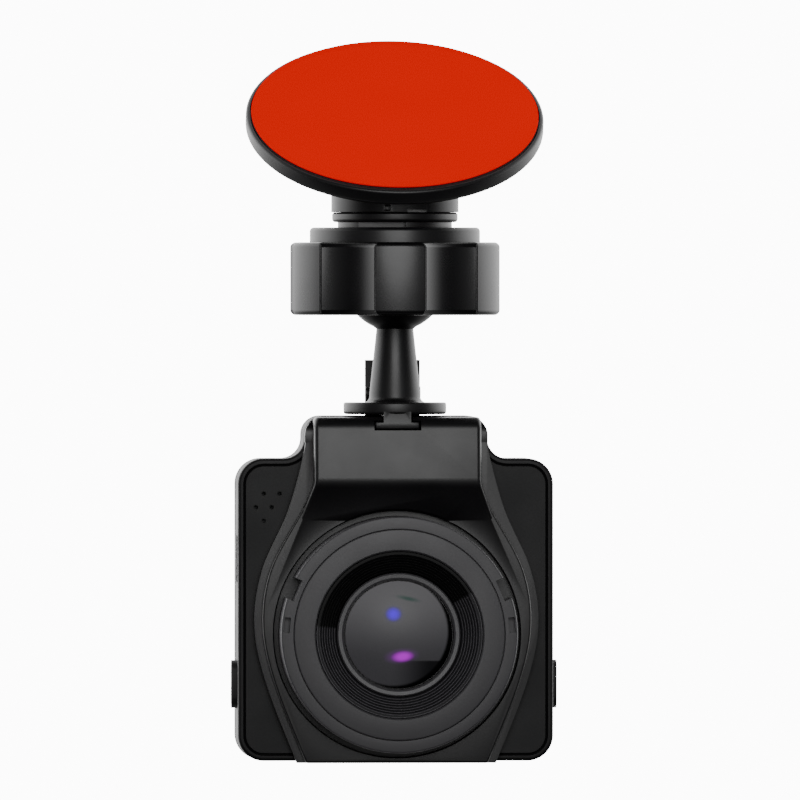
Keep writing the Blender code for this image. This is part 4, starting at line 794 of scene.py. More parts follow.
def smooth_through(knots, steps):
    """Points on a Catmull-Rom curve through the knots."""
    ends = [knots[0]] + list(knots) + [knots[-1]]
    points = []
    for i in range(1, len(ends) - 2):
        before, start, end, after = (Vector(k) for k in ends[i - 1:i + 3])
        for j in range(steps):
            t = j / steps
            points.append(0.5 * (2 * start + (end - before) * t
                                 + (2 * before - 5 * start + 4 * end - after) * t ** 2
                                 + (3 * start - before - 3 * end + after) * t ** 3))
    points.append(Vector(knots[-1]))
    return points


def waisted(name, knots, front, back):
    """A slab whose rows are widened one by one to follow half-widths up its height."""
    rows = smooth_through(knots, 8)
    deselect()
    bpy.ops.mesh.primitive_plane_add(size=2.0)
    piece = bpy.context.object
    piece.name = name
    piece.rotation_euler.x = math.radians(90)
    bpy.ops.object.transform_apply(location=True, rotation=True, scale=True)
    edit(piece)
    bpy.ops.object.mode_set(mode='OBJECT')
    for corner in piece.data.vertices:
        corner.select = corner.co.z > 0
    for line in piece.data.edges:
        line.select = all(piece.data.vertices[i].co.z > 0 for i in line.vertices)
    bpy.ops.object.mode_set(mode='EDIT')
    bpy.ops.mesh.select_mode(type='VERT')
    bpy.ops.mesh.delete(type='VERT')
    bpy.ops.mesh.select_all(action='SELECT')
    half = rows[0].x
    bpy.ops.transform.resize(value=(half, 1, 1), center_override=(0, 0, 0))
    bpy.ops.transform.translate(value=(0, front, rows[0].y + 1.0))
    for last, row in zip(rows, rows[1:]):
        bpy.ops.mesh.extrude_edges_move(TRANSFORM_OT_translate={"value": (0, 0, row.y - last.y)})
        bpy.ops.transform.resize(value=(row.x / half, 1, 1), center_override=(0, 0, row.y))
        half = row.x
    bpy.ops.mesh.select_all(action='SELECT')
    bpy.ops.mesh.extrude_region_move(TRANSFORM_OT_translate={"value": (0, back - front, 0)})
    return settle(piece)


shoulder_half = 16.2 * MM
top_z = hump_top - 0.3 * MM
foot_half = 17.4 * MM
side_knots = [(foot_half, fascia_low.z), (widest - 2.15 * MM, lens_z - 8.9 * MM), (widest, lens_z + 1.4 * MM),
              (widest - 1.35 * MM, lens_z + 11.2 * MM), (shoulder_half + 2.8 * MM, lens_z + 21.5 * MM),
              (shoulder_half, wing_top + 0.9 * MM), (hump_half - 0.05 * MM, top_z - hump_corner)]
fascia = waisted("front_cover", side_knots, tier_front, fascia_back)
crown = block("fascia_crown", (-hump_half + 0.05 * MM, tier_front, top_z - hump_corner - 1 * MM),
              (hump_half - 0.05 * MM, fascia_back, top_z))
bevel_edges(crown, 3.0 * MM, 10, lambda a, b: through_face(a, b) and a.z > top_z - TOUCHING)
combine(fascia, 'UNION', crown)
merge_flat(fascia, 0.5)
soften(fascia, 0.75 * MM, 5, 60.0)

step = 1.35 * MM
panel_knots = [(foot_half - 1.1 * step, fascia_low.z), (widest - step - 2.15 * MM, lens_z - 8.9 * MM),
               (widest - step, lens_z + 1.4 * MM), (widest - step - 1.35 * MM, lens_z + 11.2 * MM),
               (16.8 * MM, lens_z + 21.3 * MM), (14.0 * MM, lens_z + 26.5 * MM)]
panel = waisted("fascia_panel", panel_knots, panel_front, tier_front + 0.6 * MM)
merge_flat(panel, 0.5)
soften(panel, 0.7 * MM, 5, 60.0)

block_half = 14.6 * MM
block_top = hump_top - 0.15 * MM
face_low = block_top - 11.6 * MM
face_lean = 1.0 * MM
well_radius = bezel_radius + 0.85 * MM
slope_foot = lens_z + bezel_radius - 2.8 * MM
brow_flare = 1.22
hump_block = block("hump_block", (-block_half, block_front, slope_foot),
                   (block_half, fascia_back - 0.6 * MM, block_top))
edit(hump_block)
bpy.ops.mesh.select_all(action='SELECT')
bpy.ops.mesh.bisect(plane_co=(0, 0, face_low), plane_no=(0, 0, 1))
bpy.ops.mesh.select_all(action='DESELECT')
bpy.ops.object.mode_set(mode='OBJECT')
for corner in hump_block.data.vertices:
    corner.select = corner.co.z < face_low - TOUCHING
bpy.ops.object.mode_set(mode='EDIT')
bpy.ops.mesh.select_mode(type='VERT')
bpy.ops.transform.resize(value=(brow_flare, 1, 1), center_override=(0, 0, 0))
at_front = block_front + TOUCHING
bpy.ops.object.mode_set(mode='OBJECT')
for corner in hump_block.data.vertices:
    corner.select = corner.co.z < face_low - TOUCHING and corner.co.y < at_front
bpy.ops.object.mode_set(mode='EDIT')
bpy.ops.transform.translate(value=(0, panel_front + 0.2 * MM - block_front, 0))
bpy.ops.object.mode_set(mode='OBJECT')
for corner in hump_block.data.vertices:
    corner.select = corner.co.z > block_top - TOUCHING and corner.co.y < at_front
bpy.ops.object.mode_set(mode='EDIT')
bpy.ops.transform.translate(value=(0, face_lean, 0))
settle(hump_block)
bevel_edges(hump_block, 2.2 * MM, 8,
            lambda a, b: min(a.z, b.z) > block_top - TOUCHING and max(a.y, b.y) < block_front + 1.5 * MM)
bevel_edges(hump_block, 1.0 * MM, 5, lambda a, b: abs(a.z - face_low) < TOUCHING
            and abs(b.z - face_low) < TOUCHING and max(a.y, b.y) < at_front)
soften(hump_block, 1.7 * MM, 6, 50.0)
combine(fascia, 'UNION', panel, hump_block)
well_mouth = well_radius + 0.4 * MM
well_floor = 4.9 * MM
lens_well = turned("lens_well", [
    (well_mouth, 16 * MM), (well_mouth, -panel_front + 0.2 * MM), (well_radius, -panel_front - 0.25 * MM),
    (well_radius, well_floor), (lens_way, well_floor), (lens_way, 0.0)], steps=160)
stand(lens_well, 90, place=(0, 0, lens_z))
combine(fascia, 'DIFFERENCE', lens_well, *slide_ways(block_front - 2 * MM))

# The same black ABS from a finely polished tool, so it takes a soft clear sheen on its edges.
satin_abs = moulded_plastic("satin_black_abs_fascia", "#131214", "#181719", 0.33, 0.3 * MM, 0.10)
fit(fascia, satin_abs, "camera", "black_moulding", "front_fascia")


# ---------------------------------------------------------------- lens ring
# Two dark grey polycarbonate rings round the lens: an outer bezel with clip windows for a
# push-on filter, and a flat annulus inside it, with a thin joint line between them.
bezel_front = -lens_low.y
bezel_inner = bezel_radius - 2.2 * MM
seat_height = 5.15 * MM
bezel = turned("outer_ring", (
    [(bezel_inner + 0.08 * MM, bezel_front)]
    + arc((bezel_radius - 0.35 * MM, bezel_front - 0.35 * MM), 0.35 * MM, 85, 0, 5)
    + [(bezel_radius, seat_height), (bezel_inner, seat_height), (bezel_inner, bezel_front - 0.08 * MM)]),
    steps=192, closed=True)
stand(bezel, 90, place=(0, 0, lens_z))
for side in (-1, 1):
    for name, angle, width, depth, reach in (("clip_window", 23.5, 3.9 * MM, 11.5 * MM, 1.0 * MM),
                                             ("clip_mark", 5.0, 2.7 * MM, 1.6 * MM, -0.4 * MM)):
        notch = block(f"{name}_{side}", (bezel_radius - 1.5 * MM, -bezel_front - 0.5 * MM, -width / 2),
                      (bezel_radius + reach, -bezel_front + depth, width / 2))
        about_lens = math.radians(-angle if side > 0 else 180 + angle)
        notch.matrix_world = Matrix.Translation((0, 0, lens_z)) @ Matrix.Rotation(about_lens, 4, 'Y')
        combine(bezel, 'DIFFERENCE', notch)

# Dark grey polycarbonate, bead-blasted: even, a little lighter than the casing round it.
grey_pc = moulded_plastic("blasted_grey_polycarbonate", "#434245", "#4B4A4D", 0.42, 0.3 * MM, 0.12)
fit(bezel, grey_pc, "camera", "dark_trim", "lens_bezel")

trim_low, trim_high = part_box("trim_ring")
trim_inner = trim_high.x - 3.6 * MM
trim_outer = bezel_inner - 0.06 * MM
trim_front = -trim_low.y
trim = turned("inner_ring", (
    [(trim_inner, trim_front - 0.25 * MM), (trim_inner + 0.25 * MM, trim_front)]
    + arc((trim_outer - 0.2 * MM, trim_front - 0.2 * MM), 0.2 * MM, 85, 0, 4)
    + [(trim_outer, seat_height), (trim_outer - 1.4 * MM, seat_height),
       (trim_outer - 1.4 * MM, trim_front - 2 * MM), (trim_inner, trim_front - 2 * MM)]),
    steps=192, closed=True)
stand(trim, 90, place=(0, 0, lens_z))
fit(trim, grey_pc, "camera", "dark_trim", "trim_ring")


# ---------------------------------------------------------------- light baffle
# A conical ring that steps down to the lens in fine ridges, which keep stray light off the
# glass. It is turned from dark acetal and snaps into the grey annulus.
barrel_low, barrel_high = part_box("lens_barrel")
barrel_radius = barrel_high.x
baffle_outer = trim_inner - 0.06 * MM
baffle_inner = barrel_radius + 0.08 * MM
baffle_front = trim_front - 0.1 * MM
baffle_depth = 2.5 * MM
ridges = 7
run = (baffle_outer - baffle_inner - 0.5 * MM) / ridges
rise = baffle_depth / ridges
slope = []
for i in range(ridges):
    radius = baffle_inner + run * i
    height = baffle_front - baffle_depth + rise * i
    slope += [(radius, height), (radius + 0.12 * run, height - 0.10 * MM),
              (radius + 0.85 * run, height + 0.55 * rise), (radius + 0.95 * run, height + rise)]
slope += [(baffle_outer - 0.35 * MM, baffle_front), (baffle_outer - 0.1 * MM, baffle_front)]
baffle_back = baffle_front - baffle_depth - 1.2 * MM
baffle = turned("ridged_baffle", slope + [
    (baffle_outer, baffle_front - 0.1 * MM), (baffle_outer, baffle_back), (baffle_inner, baffle_back)],
    steps=192, closed=True)
stand(baffle, 90, place=(0, 0, lens_z))


def set_stops(ramp, stops):
    """Give a colour ramp its stops, each a position and a colour."""
    while len(ramp.color_ramp.elements) < len(stops):
        ramp.color_ramp.elements.new(0.5)
    for element, (place, colour) in zip(ramp.color_ramp.elements, stops):
        element.position = place
        element.color = colour


# Dark acetal with light painted on its turned ridges: a painted highlight along each crest and
# painted shade at each step's foot. From 30 degrees round to 174 degrees, on the side of the sky, painted
# near-black shade covers them.
acetal, tree, shader = new_material("ridged_dark_acetal", Roughness=0.5, IOR=1.48, Specular_IOR_Level=0.25)
where = add_node(tree, "TexCoord").outputs["Object"]
about_axis = add_node(tree, "Mapping", {"Vector": where}, vector_type='TEXTURE', Location=(0, 0, lens_z))
offset = add_node(tree, "SeparateXYZ", {"Vector": about_axis.outputs["Vector"]})
flat = add_node(tree, "CombineXYZ", {"X": offset.outputs["X"], "Z": offset.outputs["Z"]})
radius_node = add_node(tree, "VectorMath", {"Vector": flat.outputs["Vector"]}, operation='LENGTH')
ridge_count = add_node(tree, "MapRange", {"Value": radius_node.outputs["Value"]}, clamp=False,
                       From_Min=baffle_inner, From_Max=baffle_inner + run, To_Min=0.0, To_Max=1.0)
phase = add_node(tree, "Math", {0: ridge_count.outputs["Result"]}, operation='FRACT')
ridge_shading_ramp = add_node(tree, "ValToRGB", {"Fac": phase.outputs["Value"]})
# Across each ridge: painted shade at the step's foot, grey flats, a painted highlight on the crest.
ridge_shading_stops = ((0.0, "#050506"), (0.14, "#232225"), (0.68, "#29282B"), (0.82, "#77757A"),
               (0.93, "#5A585C"), (1.0, "#050506"))
set_stops(ridge_shading_ramp, [(place, hex_colour(code)) for place, code in ridge_shading_stops])
# Painted shade: a near-black sector round the axis, from 30 to 174 degrees, over the ridges.
turn = add_node(tree, "Math", {0: offset.outputs["Z"], 1: offset.outputs["X"]}, operation='ARCTAN2')
shade_sector_start = add_node(tree, "MapRange", {"Value": turn.outputs["Value"]}, From_Min=math.radians(29),
                       From_Max=math.radians(31), To_Min=0.0, To_Max=1.0)
shade_sector_end = add_node(tree, "MapRange", {"Value": turn.outputs["Value"]}, From_Min=math.radians(173),
                     From_Max=math.radians(175), To_Min=1.0, To_Max=0.0)
painted_shade_sector = add_node(tree, "Math", {0: shade_sector_start.outputs["Result"], 1: shade_sector_end.outputs["Result"]},
                   operation='MULTIPLY')
sector_shade_strength = 0.96
sector_shade_weight = add_node(tree, "Math", {0: painted_shade_sector.outputs["Value"], 1: sector_shade_strength}, operation='MULTIPLY')
baffle_tint = add_node(tree, "Mix", {"Factor": sector_shade_weight.outputs["Value"], "A": ridge_shading_ramp.outputs["Color"]},
                       data_type='RGBA', B=hex_colour("#030303"))
join_up(tree, shader, Base_Color=baffle_tint.outputs["Result"])
fit(baffle, acetal, "camera", "matt_black", "light_baffle")


# ---------------------------------------------------------------- lens barrel
# A barrel turned from aluminium and anodised black. It screws into the holder on the board
# and is locked with a drop of glue; its front lip is rolled over the first lens.
barrel_front = -barrel_low.y
barrel_lip = 1.2 * MM
dome_radius = barrel_radius - barrel_lip
seat_floor = barrel_front - 2.6 * MM
head_back = barrel_front - 6.0 * MM
seat_radius = dome_radius - 1.4 * MM
body_radius = 6.0 * MM
tube_radius = 5.0 * MM
exit_radius = 3.6 * MM
thread_back = -barrel_high.y
fine_pitch = 0.5 * MM
fine_thread = []
fine_turns = int((head_back - 1.5 * MM - thread_back) / fine_pitch) - 1
for turn in range(fine_turns):
    crest = head_back - 2.0 * MM - turn * fine_pitch
    fine_thread += [(body_radius, crest), (body_radius - 0.18 * MM, crest - fine_pitch / 2)]
barrel = turned("anodised_barrel", (
    [(dome_radius, barrel_front - 0.35 * MM), (dome_radius + 0.35 * MM, barrel_front - 0.02 * MM),
     (barrel_radius - 0.25 * MM, barrel_front), (barrel_radius, barrel_front - 0.25 * MM),
     (barrel_radius, head_back), (body_radius, head_back - 1.5 * MM)]
    + fine_thread + [
        (body_radius, thread_back), (exit_radius, thread_back), (exit_radius, head_back - 3.2 * MM),
        (tube_radius, head_back - 3.2 * MM), (tube_radius, head_back + 1.2 * MM),
        (seat_radius, seat_floor - 1.2 * MM), (seat_radius, seat_floor), (dome_radius, seat_floor)]),
    steps=160, closed=True)
stand(barrel, 90, place=(0, 0, lens_z))

# Black anodised aluminium with turning marks 0.15 mm apart: rings of faint grey round the lens.
anodised, tree, shader = new_material("black_anodised_aluminium", Metallic=0.0, Roughness=0.34, IOR=1.6)
where = add_node(tree, "TexCoord").outputs["Object"]
from_axis = add_node(tree, "Mapping", {"Vector": where}, vector_type='POINT', Location=(0, 0, -lens_z))
mark_pitch = 0.15 * MM
marks = add_node(tree, "TexWave", {"Vector": from_axis.outputs["Vector"]}, wave_type='RINGS',
                 rings_direction='Y', Scale=2 * math.pi / (20 * mark_pitch), Distortion=0.4, Detail=1.0)
ring_tint = add_node(tree, "Mix", {"Factor": marks.outputs["Fac"]}, data_type='RGBA',
                     A=hex_colour("#424144"), B=hex_colour("#535255"))
turning = add_node(tree, "Bump", {"Height": marks.outputs["Fac"]}, Strength=0.12, Distance=0.01 * MM)
join_up(tree, shader, Base_Color=ring_tint.outputs["Result"], Normal=turning.outputs["Normal"])
fit(barrel, anodised, "camera", "barrel", "lens_barrel")


# ---------------------------------------------------------------- lens elements
# Ground and polished glass menisci with vacuum-deposited anti-reflection layers. The violet-blue
# spot and the magenta one that their surfaces send back are painted, glowing, on the front glass.
glass_radius = dome_radius - gap
glass_edge = barrel_front - 0.5 * MM
dome_rise = 2.0 * MM
hollow_radius = 7.2 * MM
hollow_depth = 1.1 * MM
lens_back = seat_floor + gap


def dome(radius, rise, rim, steps):
    """Profile points of a spherical cap, from near its top out to its rim."""
    sphere = (radius ** 2 + rise ** 2) / (2 * rise)
    sweep = math.asin(radius / sphere)
    angles = (sweep * i / steps for i in range(1, steps + 1))
    return [(sphere * math.sin(a), rim + rise - sphere + sphere * math.cos(a)) for a in angles]


front_glass = turned("front_glass", dome(hollow_radius, hollow_depth, lens_back, 16)
                     + [(glass_radius, lens_back)] + dome(glass_radius, dome_rise, glass_edge, 28)[::-1],
                     steps=128)
stand(front_glass, 90, place=(0, 0, lens_z))


def lens_ellipse_mask(tree, where, place, half_width, half_height, softness, tilt=0.0):
    """A soft ellipse of ones at a place in front of the lens, measured from its axis."""
    mapping = add_node(tree, "Mapping", {"Vector": where}, vector_type='TEXTURE',
                       Location=(place[0], 0, place[1] + lens_z), Rotation=(0, math.radians(tilt), 0),
                       Scale=(half_width, 1, half_height))
    flat = add_node(tree, "VectorMath", {"Vector": mapping.outputs["Vector"], 1: (1, 0, 1)},
                    operation='MULTIPLY')
    length = add_node(tree, "VectorMath", {"Vector": flat.outputs["Vector"]}, operation='LENGTH')
    ramp = add_node(tree, "MapRange", {"Value": length.outputs["Value"]}, interpolation_type='SMOOTHSTEP',
                    From_Min=1.0, From_Max=1.0 - softness, To_Min=0.0, To_Max=1.0)
    return ramp.outputs["Result"]


def layer(tree, mask, below, code):
    """Lay a colour over what is below, or over black, where the mask is one."""
    laid = add_node(tree, "Mix", {"Factor": mask}, data_type='RGBA', A=(0, 0, 0, 1), B=hex_colour(code))
    if below:
        tree.links.new(below, laid.inputs["A"])
    return laid.outputs["Result"]


# Coated crown glass with light painted on its face: a painted grey reflection veils the dark stack,
# paler at the top; painted reflections give a glowing blue-violet spot above the axis, a glowing magenta
# one below and a faint green arc; painted shadows darken the lower right and a crescent at the rim's lower
# right.
painted_light_glass, tree, shader = new_material("crown_glass_painted_light", Roughness=0.3, IOR=1.52,
                                          Specular_IOR_Level=0.1, Emission_Strength=0.9)
where = add_node(tree, "TexCoord").outputs["Object"]
height = add_node(tree, "SeparateXYZ", {"Vector": where})
# Painted reflection: a grey veil, paler towards the top of the glass.
painted_top_light = add_node(tree, "MapRange", {"Value": height.outputs["Z"]}, interpolation_type='SMOOTHSTEP',
                 From_Min=lens_z - 5 * MM, From_Max=lens_z + 8 * MM)
painted_grey_reflection = add_node(tree, "Mix", {"Factor": painted_top_light.outputs["Result"]}, data_type='RGBA',
                A=hex_colour("#5C5B5F"), B=hex_colour("#8A898C"))
# Painted shadow over the lower right of the glass.
below = add_node(tree, "MapRange", {"Value": height.outputs["Z"]}, interpolation_type='SMOOTHSTEP',
                 From_Min=lens_z - 4.4 * MM, From_Max=lens_z - 4.7 * MM)
rightwards = add_node(tree, "MapRange", {"Value": height.outputs["X"]}, interpolation_type='SMOOTHSTEP',
                      From_Min=-2 * MM, From_Max=6 * MM, To_Max=0.85)
stack_shadow = add_node(tree, "Math", {0: below.outputs["Result"], 1: rightwards.outputs["Result"]},
                        operation='MULTIPLY')
tint = layer(tree, stack_shadow.outputs["Value"], painted_grey_reflection.outputs["Result"], "#08080A")
# Painted shadow: a dark crescent round the rim's lower right, outside an offset circle.
clear = lens_ellipse_mask(tree, where, (-0.9 * MM, 0.55 * MM), 9.75 * MM, 9.75 * MM, 0.06)
edge_shadow = add_node(tree, "Math", {0: 1.0, 1: clear}, operation='SUBTRACT')
tint = layer(tree, edge_shadow.outputs["Value"], tint, "#050506")
# Painted reflection: a faint green arc above and right of the axis.
painted_arc_reflection = lens_ellipse_mask(tree, where, (1.6 * MM, 6.3 * MM), 2.9 * MM, 0.6 * MM, 0.95, 12.0)
tint = layer(tree, painted_arc_reflection, tint, "#58706A")
violet_place = (-1.0 * MM, 3.6 * MM)
magenta_place = (0.6 * MM, -3.8 * MM)
# Painted dark patches under the glints, so that the glowing spots show deep.
for place, half_width, half_height in ((violet_place, 1.9 * MM, 1.7 * MM),
                                       (magenta_place, 2.7 * MM, 1.3 * MM)):
    tint = layer(tree, lens_ellipse_mask(tree, where, place, half_width, half_height, 0.9), tint, "#060510")
# Painted glints: violet and magenta reflections that glow through the emission.
painted_glints = None
for place, half_width, half_height, softness, tilt, code in (
        (violet_place, 2.3 * MM, 2.0 * MM, 0.98, 0.0, "#1A1058"),
        (violet_place, 1.6 * MM, 1.45 * MM, 0.9, 0.0, "#5A18FF"),
        ((0.4 * MM, -3.7 * MM), 3.6 * MM, 1.6 * MM, 0.98, -6.0, "#5C0F70"),
        (magenta_place, 2.3 * MM, 1.15 * MM, 0.8, -6.0, "#C404E0")):
    spot = lens_ellipse_mask(tree, where, place, half_width, half_height, softness, tilt)
    painted_glints = layer(tree, spot, painted_glints, code)
join_up(tree, shader, Base_Color=tint, Emission_Color=painted_glints)
fit(front_glass, painted_light_glass, "camera", "lens_glass", "front_lens_element")

# The inner elements are hard flint glass with a violet coating; they hide inside the barrel.
inner_glass = noisy_solid("coated_flint_glass", "#2B2A2F", "#3D3C54", 0.1, 3 * MM, IOR=1.6)
for name, node, crown_rise in (("middle_glass", "middle_lens_element", 0.9 * MM),
                               ("rear_glass", "rear_lens_element", 0.6 * MM)):
    low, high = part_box(node)
    element = turned(name, dome(high.x, crown_rise, -low.y - crown_rise, 20) + [(high.x, -high.y)], steps=96)
    stand(element, 90, place=(0, 0, lens_z))
    fit(element, inner_glass, "camera", "lens_glass", node)


# ---------------------------------------------------------------- side buttons
# Power on one side and mute on the other: nylon caps that slide in the shell's wall. The left
# one has a flat pad, the right one a domed one.
for name, node in (("left_pad", "left_button"), ("right_pad", "right_button")):
    pad = refined(name, node, 0.12 * MM, 2)
    fit(pad, black_nylon, node + "_body", "matt_black", node)


# ---------------------------------------------------------------- rear keys
# Four rubber-topped keys in a row under the display, each on its own dome switch.
for node in key_names:
    cap = refined(node.replace("rear_key", "key_cap"), node, 0.12 * MM, 2)
    fit(cap, black_nylon, node + "_body", "matt_black", node)


# ---------------------------------------------------------------- display
# A polished acrylic window, printed black round its edge on the inside, over a liquid crystal
# panel. The panel is switched off, so it shows as a slightly lighter rectangle.
window = refined("display_glass", "display_window", 0.2 * MM, 3)
window_middle = (window_low.z + window_high.z) / 2
# Clear acrylic over black print: a near-black gloss with the faint grey screen in its middle.
window_black, tree, shader = new_material("printed_acrylic_window", IOR=1.49, Coat_Weight=0.3,
                                          Coat_Roughness=0.03)
where = add_node(tree, "TexCoord").outputs["Object"]
active_half_width = 17.6 * MM
active_half_height = 13.2 * MM
on_screen = add_node(tree, "Mapping", {"Vector": where}, vector_type='TEXTURE',
                     Location=(0, 0, window_middle), Scale=(active_half_width, 1, active_half_height))
place_on_screen = add_node(tree, "SeparateXYZ", {"Vector": on_screen.outputs["Vector"]})
across = add_node(tree, "Math", {0: place_on_screen.outputs["X"]}, operation='ABSOLUTE')
along = add_node(tree, "Math", {0: place_on_screen.outputs["Z"]}, operation='ABSOLUTE')
furthest = add_node(tree, "Math", {0: across.outputs["Value"], 1: along.outputs["Value"]},
                    operation='MAXIMUM')
inside_panel = add_node(tree, "Math", {0: furthest.outputs["Value"], 1: 1.0}, operation='LESS_THAN')
print_tint = add_node(tree, "Mix", {"Factor": inside_panel.outputs["Value"]}, data_type='RGBA',
                      A=hex_colour("#08080A"), B=hex_colour("#16171C"))
smears = add_node(tree, "TexNoise", {"Vector": where}, Scale=1 / (12 * MM), Detail=3.0)
polish = add_node(tree, "MapRange", {"Value": smears.outputs["Fac"]}, To_Min=0.04, To_Max=0.12)
join_up(tree, shader, Base_Color=print_tint.outputs["Result"], Roughness=polish.outputs["Result"])
fit(window, window_black, "camera", "display", "display_window")
# The switched-off panel behind it: smooth blue-black glass.
display_panel_glass = noisy_solid("liquid_crystal_panel", "#101116", "#17181E", 0.2, 6 * MM)
finish_node("display_panel", display_panel_glass)


# ---------------------------------------------------------------- casing screws
# Four steel pan-head screws, zinc plated, that pull the rear cover onto the front shell.
screw_low, screw_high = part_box(screw_names[0])
head_radius = (screw_high.x - screw_low.x) / 2
head_crown = screw_high.y
shank_radius = 0.85 * MM
root_radius = shank_radius * 0.78
screw_pitch = 0.6 * MM
head_seat = head_crown - 1.2 * MM
screw_tip = screw_low.y
tip_radius = 0.2 * MM
screw_profile = [(tip_radius, head_crown), (0.6 * head_radius, head_crown - 0.05 * MM),
                 (0.86 * head_radius, head_crown - 0.25 * MM), (head_radius, head_crown - 0.6 * MM),
                 (head_radius, head_seat), (shank_radius, head_seat)]
turns = int((head_seat - screw_tip - 1.6 * MM) / screw_pitch)
for turn in range(turns):
    crest = head_seat - 0.7 * MM - turn * screw_pitch
    screw_profile += [(root_radius, crest + 0.25 * MM), (shank_radius, crest),
                      (root_radius, crest - 0.25 * MM)]
screw_profile += [(shank_radius * 0.7, screw_tip + 0.6 * MM), (tip_radius, screw_tip)]
master = turned("screw_master", screw_profile, steps=40)
recess_arm = 1.1 * MM
recess_half = 0.22 * MM
for index, (x, y) in enumerate(((recess_arm, recess_half), (recess_half, recess_arm))):
    drive = block(f"cross_recess_{index}", (-x, -y, head_crown - 0.7 * MM), (x, y, head_crown + 1 * MM))
    combine(master, 'DIFFERENCE', drive)
for name in screw_names:
    x, z = middle_of(name)
    screw = master.copy()
    screw.data = master.data.copy()
    screw.name = name.replace("casing_screw", "pan_head")
    bpy.context.scene.collection.objects.link(screw)
    stand(screw, -90, place=(x, 0, z))
    fit(screw, zinc_steel, "camera", "steel", name)
bpy.data.objects.remove(master, do_unlink=True)


# ---------------------------------------------------------------- sockets and memory card
# Pressed steel shells soldered to the board: a power socket in the left wall and a push-in
# card socket in the right one, with its black card showing in the slot.
for node in ("usb_socket", "card_socket"):
    shell_piece = refined(node.replace("socket", "shell"), node, 0.08 * MM, 2)
    fit(shell_piece, zinc_steel, "camera", "steel", node)
card = refined("flash_card", "memory_card", 0.1 * MM, 2)
# Moulded black epoxy with a fine matt face.
card_plastic = noisy_solid("black_card_plastic", "#161619", "#1E1E22", 0.45, 2 * MM)
fit(card, card_plastic, "memory_card_body", "card", "memory_card")


# ---------------------------------------------------------------- electronics
# The main board and the key strip in green solder mask, the black epoxy chips, the foil
# pouch cell and the lens holder. They are hidden once the casing is closed.
# Green solder mask over etched tracks: a half-gloss green with lighter raised lines.
solder_mask, tree, shader = new_material("green_solder_mask", Roughness=0.4, IOR=1.5)
where = add_node(tree, "TexCoord").outputs["Object"]
tracks = add_node(tree, "TexBrick", {"Vector": where}, Scale=1 / (2.4 * MM), Mortar_Size=0.04,
                  Color1=hex_colour("#0C4A22"), Color2=hex_colour("#0F5428"), Mortar=hex_colour("#1C7A3C"))
raised = add_node(tree, "Bump", {"Height": tracks.outputs["Fac"]}, Strength=0.2, Distance=0.03 * MM)
join_up(tree, shader, Base_Color=tracks.outputs["Color"], Normal=raised.outputs["Normal"])
for name in ("main_board", "key_board"):
    finish_node(name, solder_mask)
# Chip packages: dull dark epoxy with a faint powdery mottle.
chip_epoxy = noisy_solid("moulded_chip_epoxy", "#17171A", "#212125", 0.55, 0.6 * MM)
for name in ("processor", "image_sensor", "speaker"):
    finish_node(name, chip_epoxy)
for name in ("microphone", "left_switch", "right_switch"):
    finish_node(name, zinc_steel)
# The cell's laminated foil: soft silver with shallow creases.
pouch_foil = noisy_solid("laminated_pouch_foil", "#A9ADB3", "#C9CDD2", 0.35, 4 * MM, metallic=1.0,
                         relief=0.4)
finish_node("battery", pouch_foil)
finish_node("lens_holder", black_nylon)
# Infrared-cut glass: clear with a pale cyan cast.
filter_glass = noisy_solid("infrared_cut_filter", "#4E8F9C", "#6FB3BE", 0.1, 5 * MM, IOR=1.52,
                           Transmission_Weight=0.8)
finish_node("infrared_filter", filter_glass)


# ---------------------------------------------------------------- studio
# A pale matt floor under the hanging camera, a white room that is bright behind and beside
# it and dark under it, and one large soft box round the viewer.
deselect()
floor_radius = 2.8
floor_level = -0.20
bpy.ops.mesh.primitive_circle_add(vertices=96, radius=floor_radius, fill_type='NGON',
                                  location=(0, 0, floor_level))
floor = bpy.context.object
floor.name = "studio_floor"
bpy.ops.object.transform_apply(location=True, rotation=True, scale=True)
# Matt white paper, lit from under so that it stays pale beneath the hanging camera.
pale_floor, tree, shader = new_material("matt_white_paper", Roughness=0.9,
                                        Emission_Color=hex_colour("#FFFFFF"), Emission_Strength=6.0)
where = add_node(tree, "TexCoord").outputs["Object"]
pulp = add_node(tree, "TexNoise", {"Vector": where}, Scale=1 / (2 * MM), Detail=3.0)
paper = add_node(tree, "Mix", {"Factor": pulp.outputs["Fac"]}, data_type='RGBA',
                 A=hex_colour("#E9E9E8"), B=hex_colour("#F2F2F1"))
join_up(tree, shader, Base_Color=paper.outputs["Result"])
floor.data.materials.append(pale_floor)
floor.visible_glossy = False
floor.visible_diffuse = False

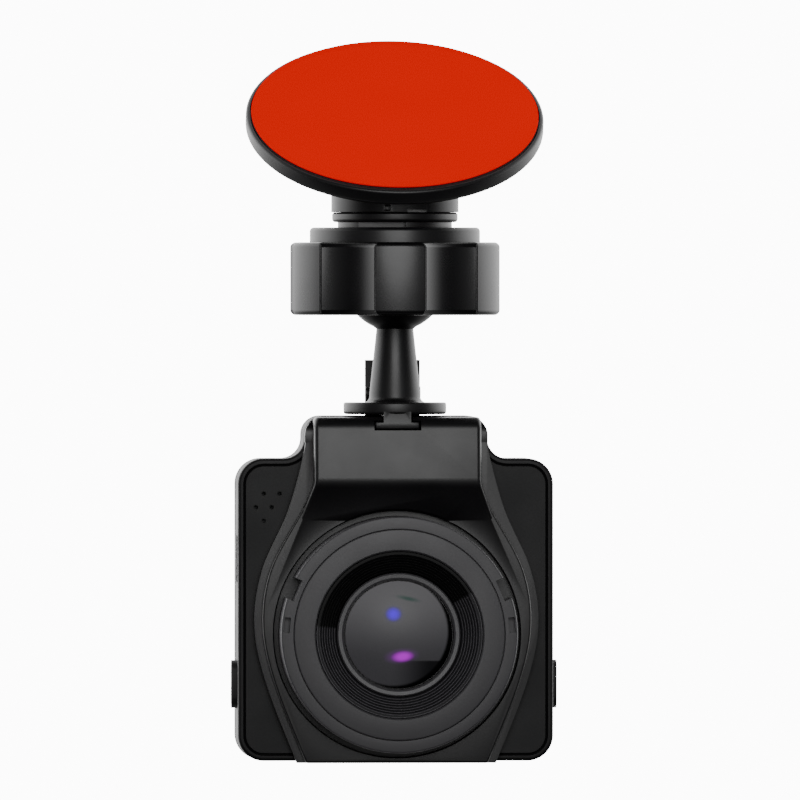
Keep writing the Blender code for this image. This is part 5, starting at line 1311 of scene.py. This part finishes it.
world = bpy.data.worlds.new("white_room")
bpy.context.scene.world = world
world.use_nodes = True
tree = world.node_tree
tree.nodes.clear()
direction = add_node(tree, "TexCoord").outputs["Generated"]
heading = add_node(tree, "SeparateXYZ", {"Vector": direction})
towards_viewer = add_node(tree, "Math", {0: heading.outputs["Y"], 1: -1.0}, operation='MULTIPLY')
half_turned = add_node(tree, "MapRange", {"Value": towards_viewer.outputs["Value"]}, From_Min=-1.0,
                       From_Max=1.0, To_Min=0.0, To_Max=1.0)
room = add_node(tree, "ValToRGB", {"Fac": half_turned.outputs["Result"]})
stops = ((0.0, 3.0), (0.35, 2.8), (0.50, 1.6), (0.62, 0.14), (0.80, 0.08), (0.93, 0.28), (1.0, 0.75))
set_stops(room, [(place, (value, value, value, 1.0)) for place, value in stops])
floor_fade = add_node(tree, "MapRange", {"Value": heading.outputs["Z"]}, From_Min=-0.45, From_Max=0.05,
                      To_Min=0.12, To_Max=1.0)
ceiling_fade = add_node(tree, "MapRange", {"Value": heading.outputs["Z"]}, From_Min=0.5, From_Max=0.85,
                        To_Min=1.0, To_Max=0.25)
fade = add_node(tree, "Math", {0: floor_fade.outputs["Result"], 1: ceiling_fade.outputs["Result"]},
                operation='MULTIPLY')
lit = add_node(tree, "VectorMath", {0: room.outputs["Color"], 1: fade.outputs["Value"]}, operation='MULTIPLY')
soft = add_node(tree, "Background", {"Color": lit.outputs["Vector"]}, Strength=1.0)
white = add_node(tree, "Background", Color=(1, 1, 1, 1), Strength=12.0)
path = add_node(tree, "LightPath")
mix = add_node(tree, "MixShader", {"Fac": path.outputs["Is Camera Ray"], 1: soft.outputs["Background"],
                                   2: white.outputs["Background"]})
add_node(tree, "OutputWorld", {"Surface": mix.outputs["Shader"]})


def soft_box(name, place, target, width, height, radiance):
    """An oval light that faces a target; radiance is that of its face."""
    deselect()
    bpy.ops.object.light_add(type='AREA', location=place)
    light = bpy.context.object
    light.name = name
    light.visible_camera = False
    light.data.shape = 'ELLIPSE'
    light.data.size = width
    light.data.size_y = height
    light.data.energy = radiance * math.pi * math.pi / 4 * width * height
    light.rotation_euler = (Vector(target) - Vector(place)).to_track_quat('-Z', 'Y').to_euler()


soft_box("front_card", (0, -0.6, 0.10), (0, 0, 0.10), 0.42, 0.34, 3.0)

view_angle = math.radians(-3.0)
view_distance = 3.5
frame_width = 0.140
eye = Vector((math.sin(view_angle) * view_distance, -math.cos(view_angle) * view_distance, -0.030))
aim = Vector((0.0009, 0, -0.0502))
bpy.ops.object.camera_add(location=eye)
camera = bpy.context.object
camera.name = "studio_camera"
sensor_width = 36.0
camera.data.sensor_width = sensor_width
camera.data.lens = sensor_width * view_distance / frame_width
camera.data.clip_end = 20.0
camera.rotation_euler = (aim - eye).to_track_quat('-Z', 'Y').to_euler()
bpy.context.scene.camera = camera
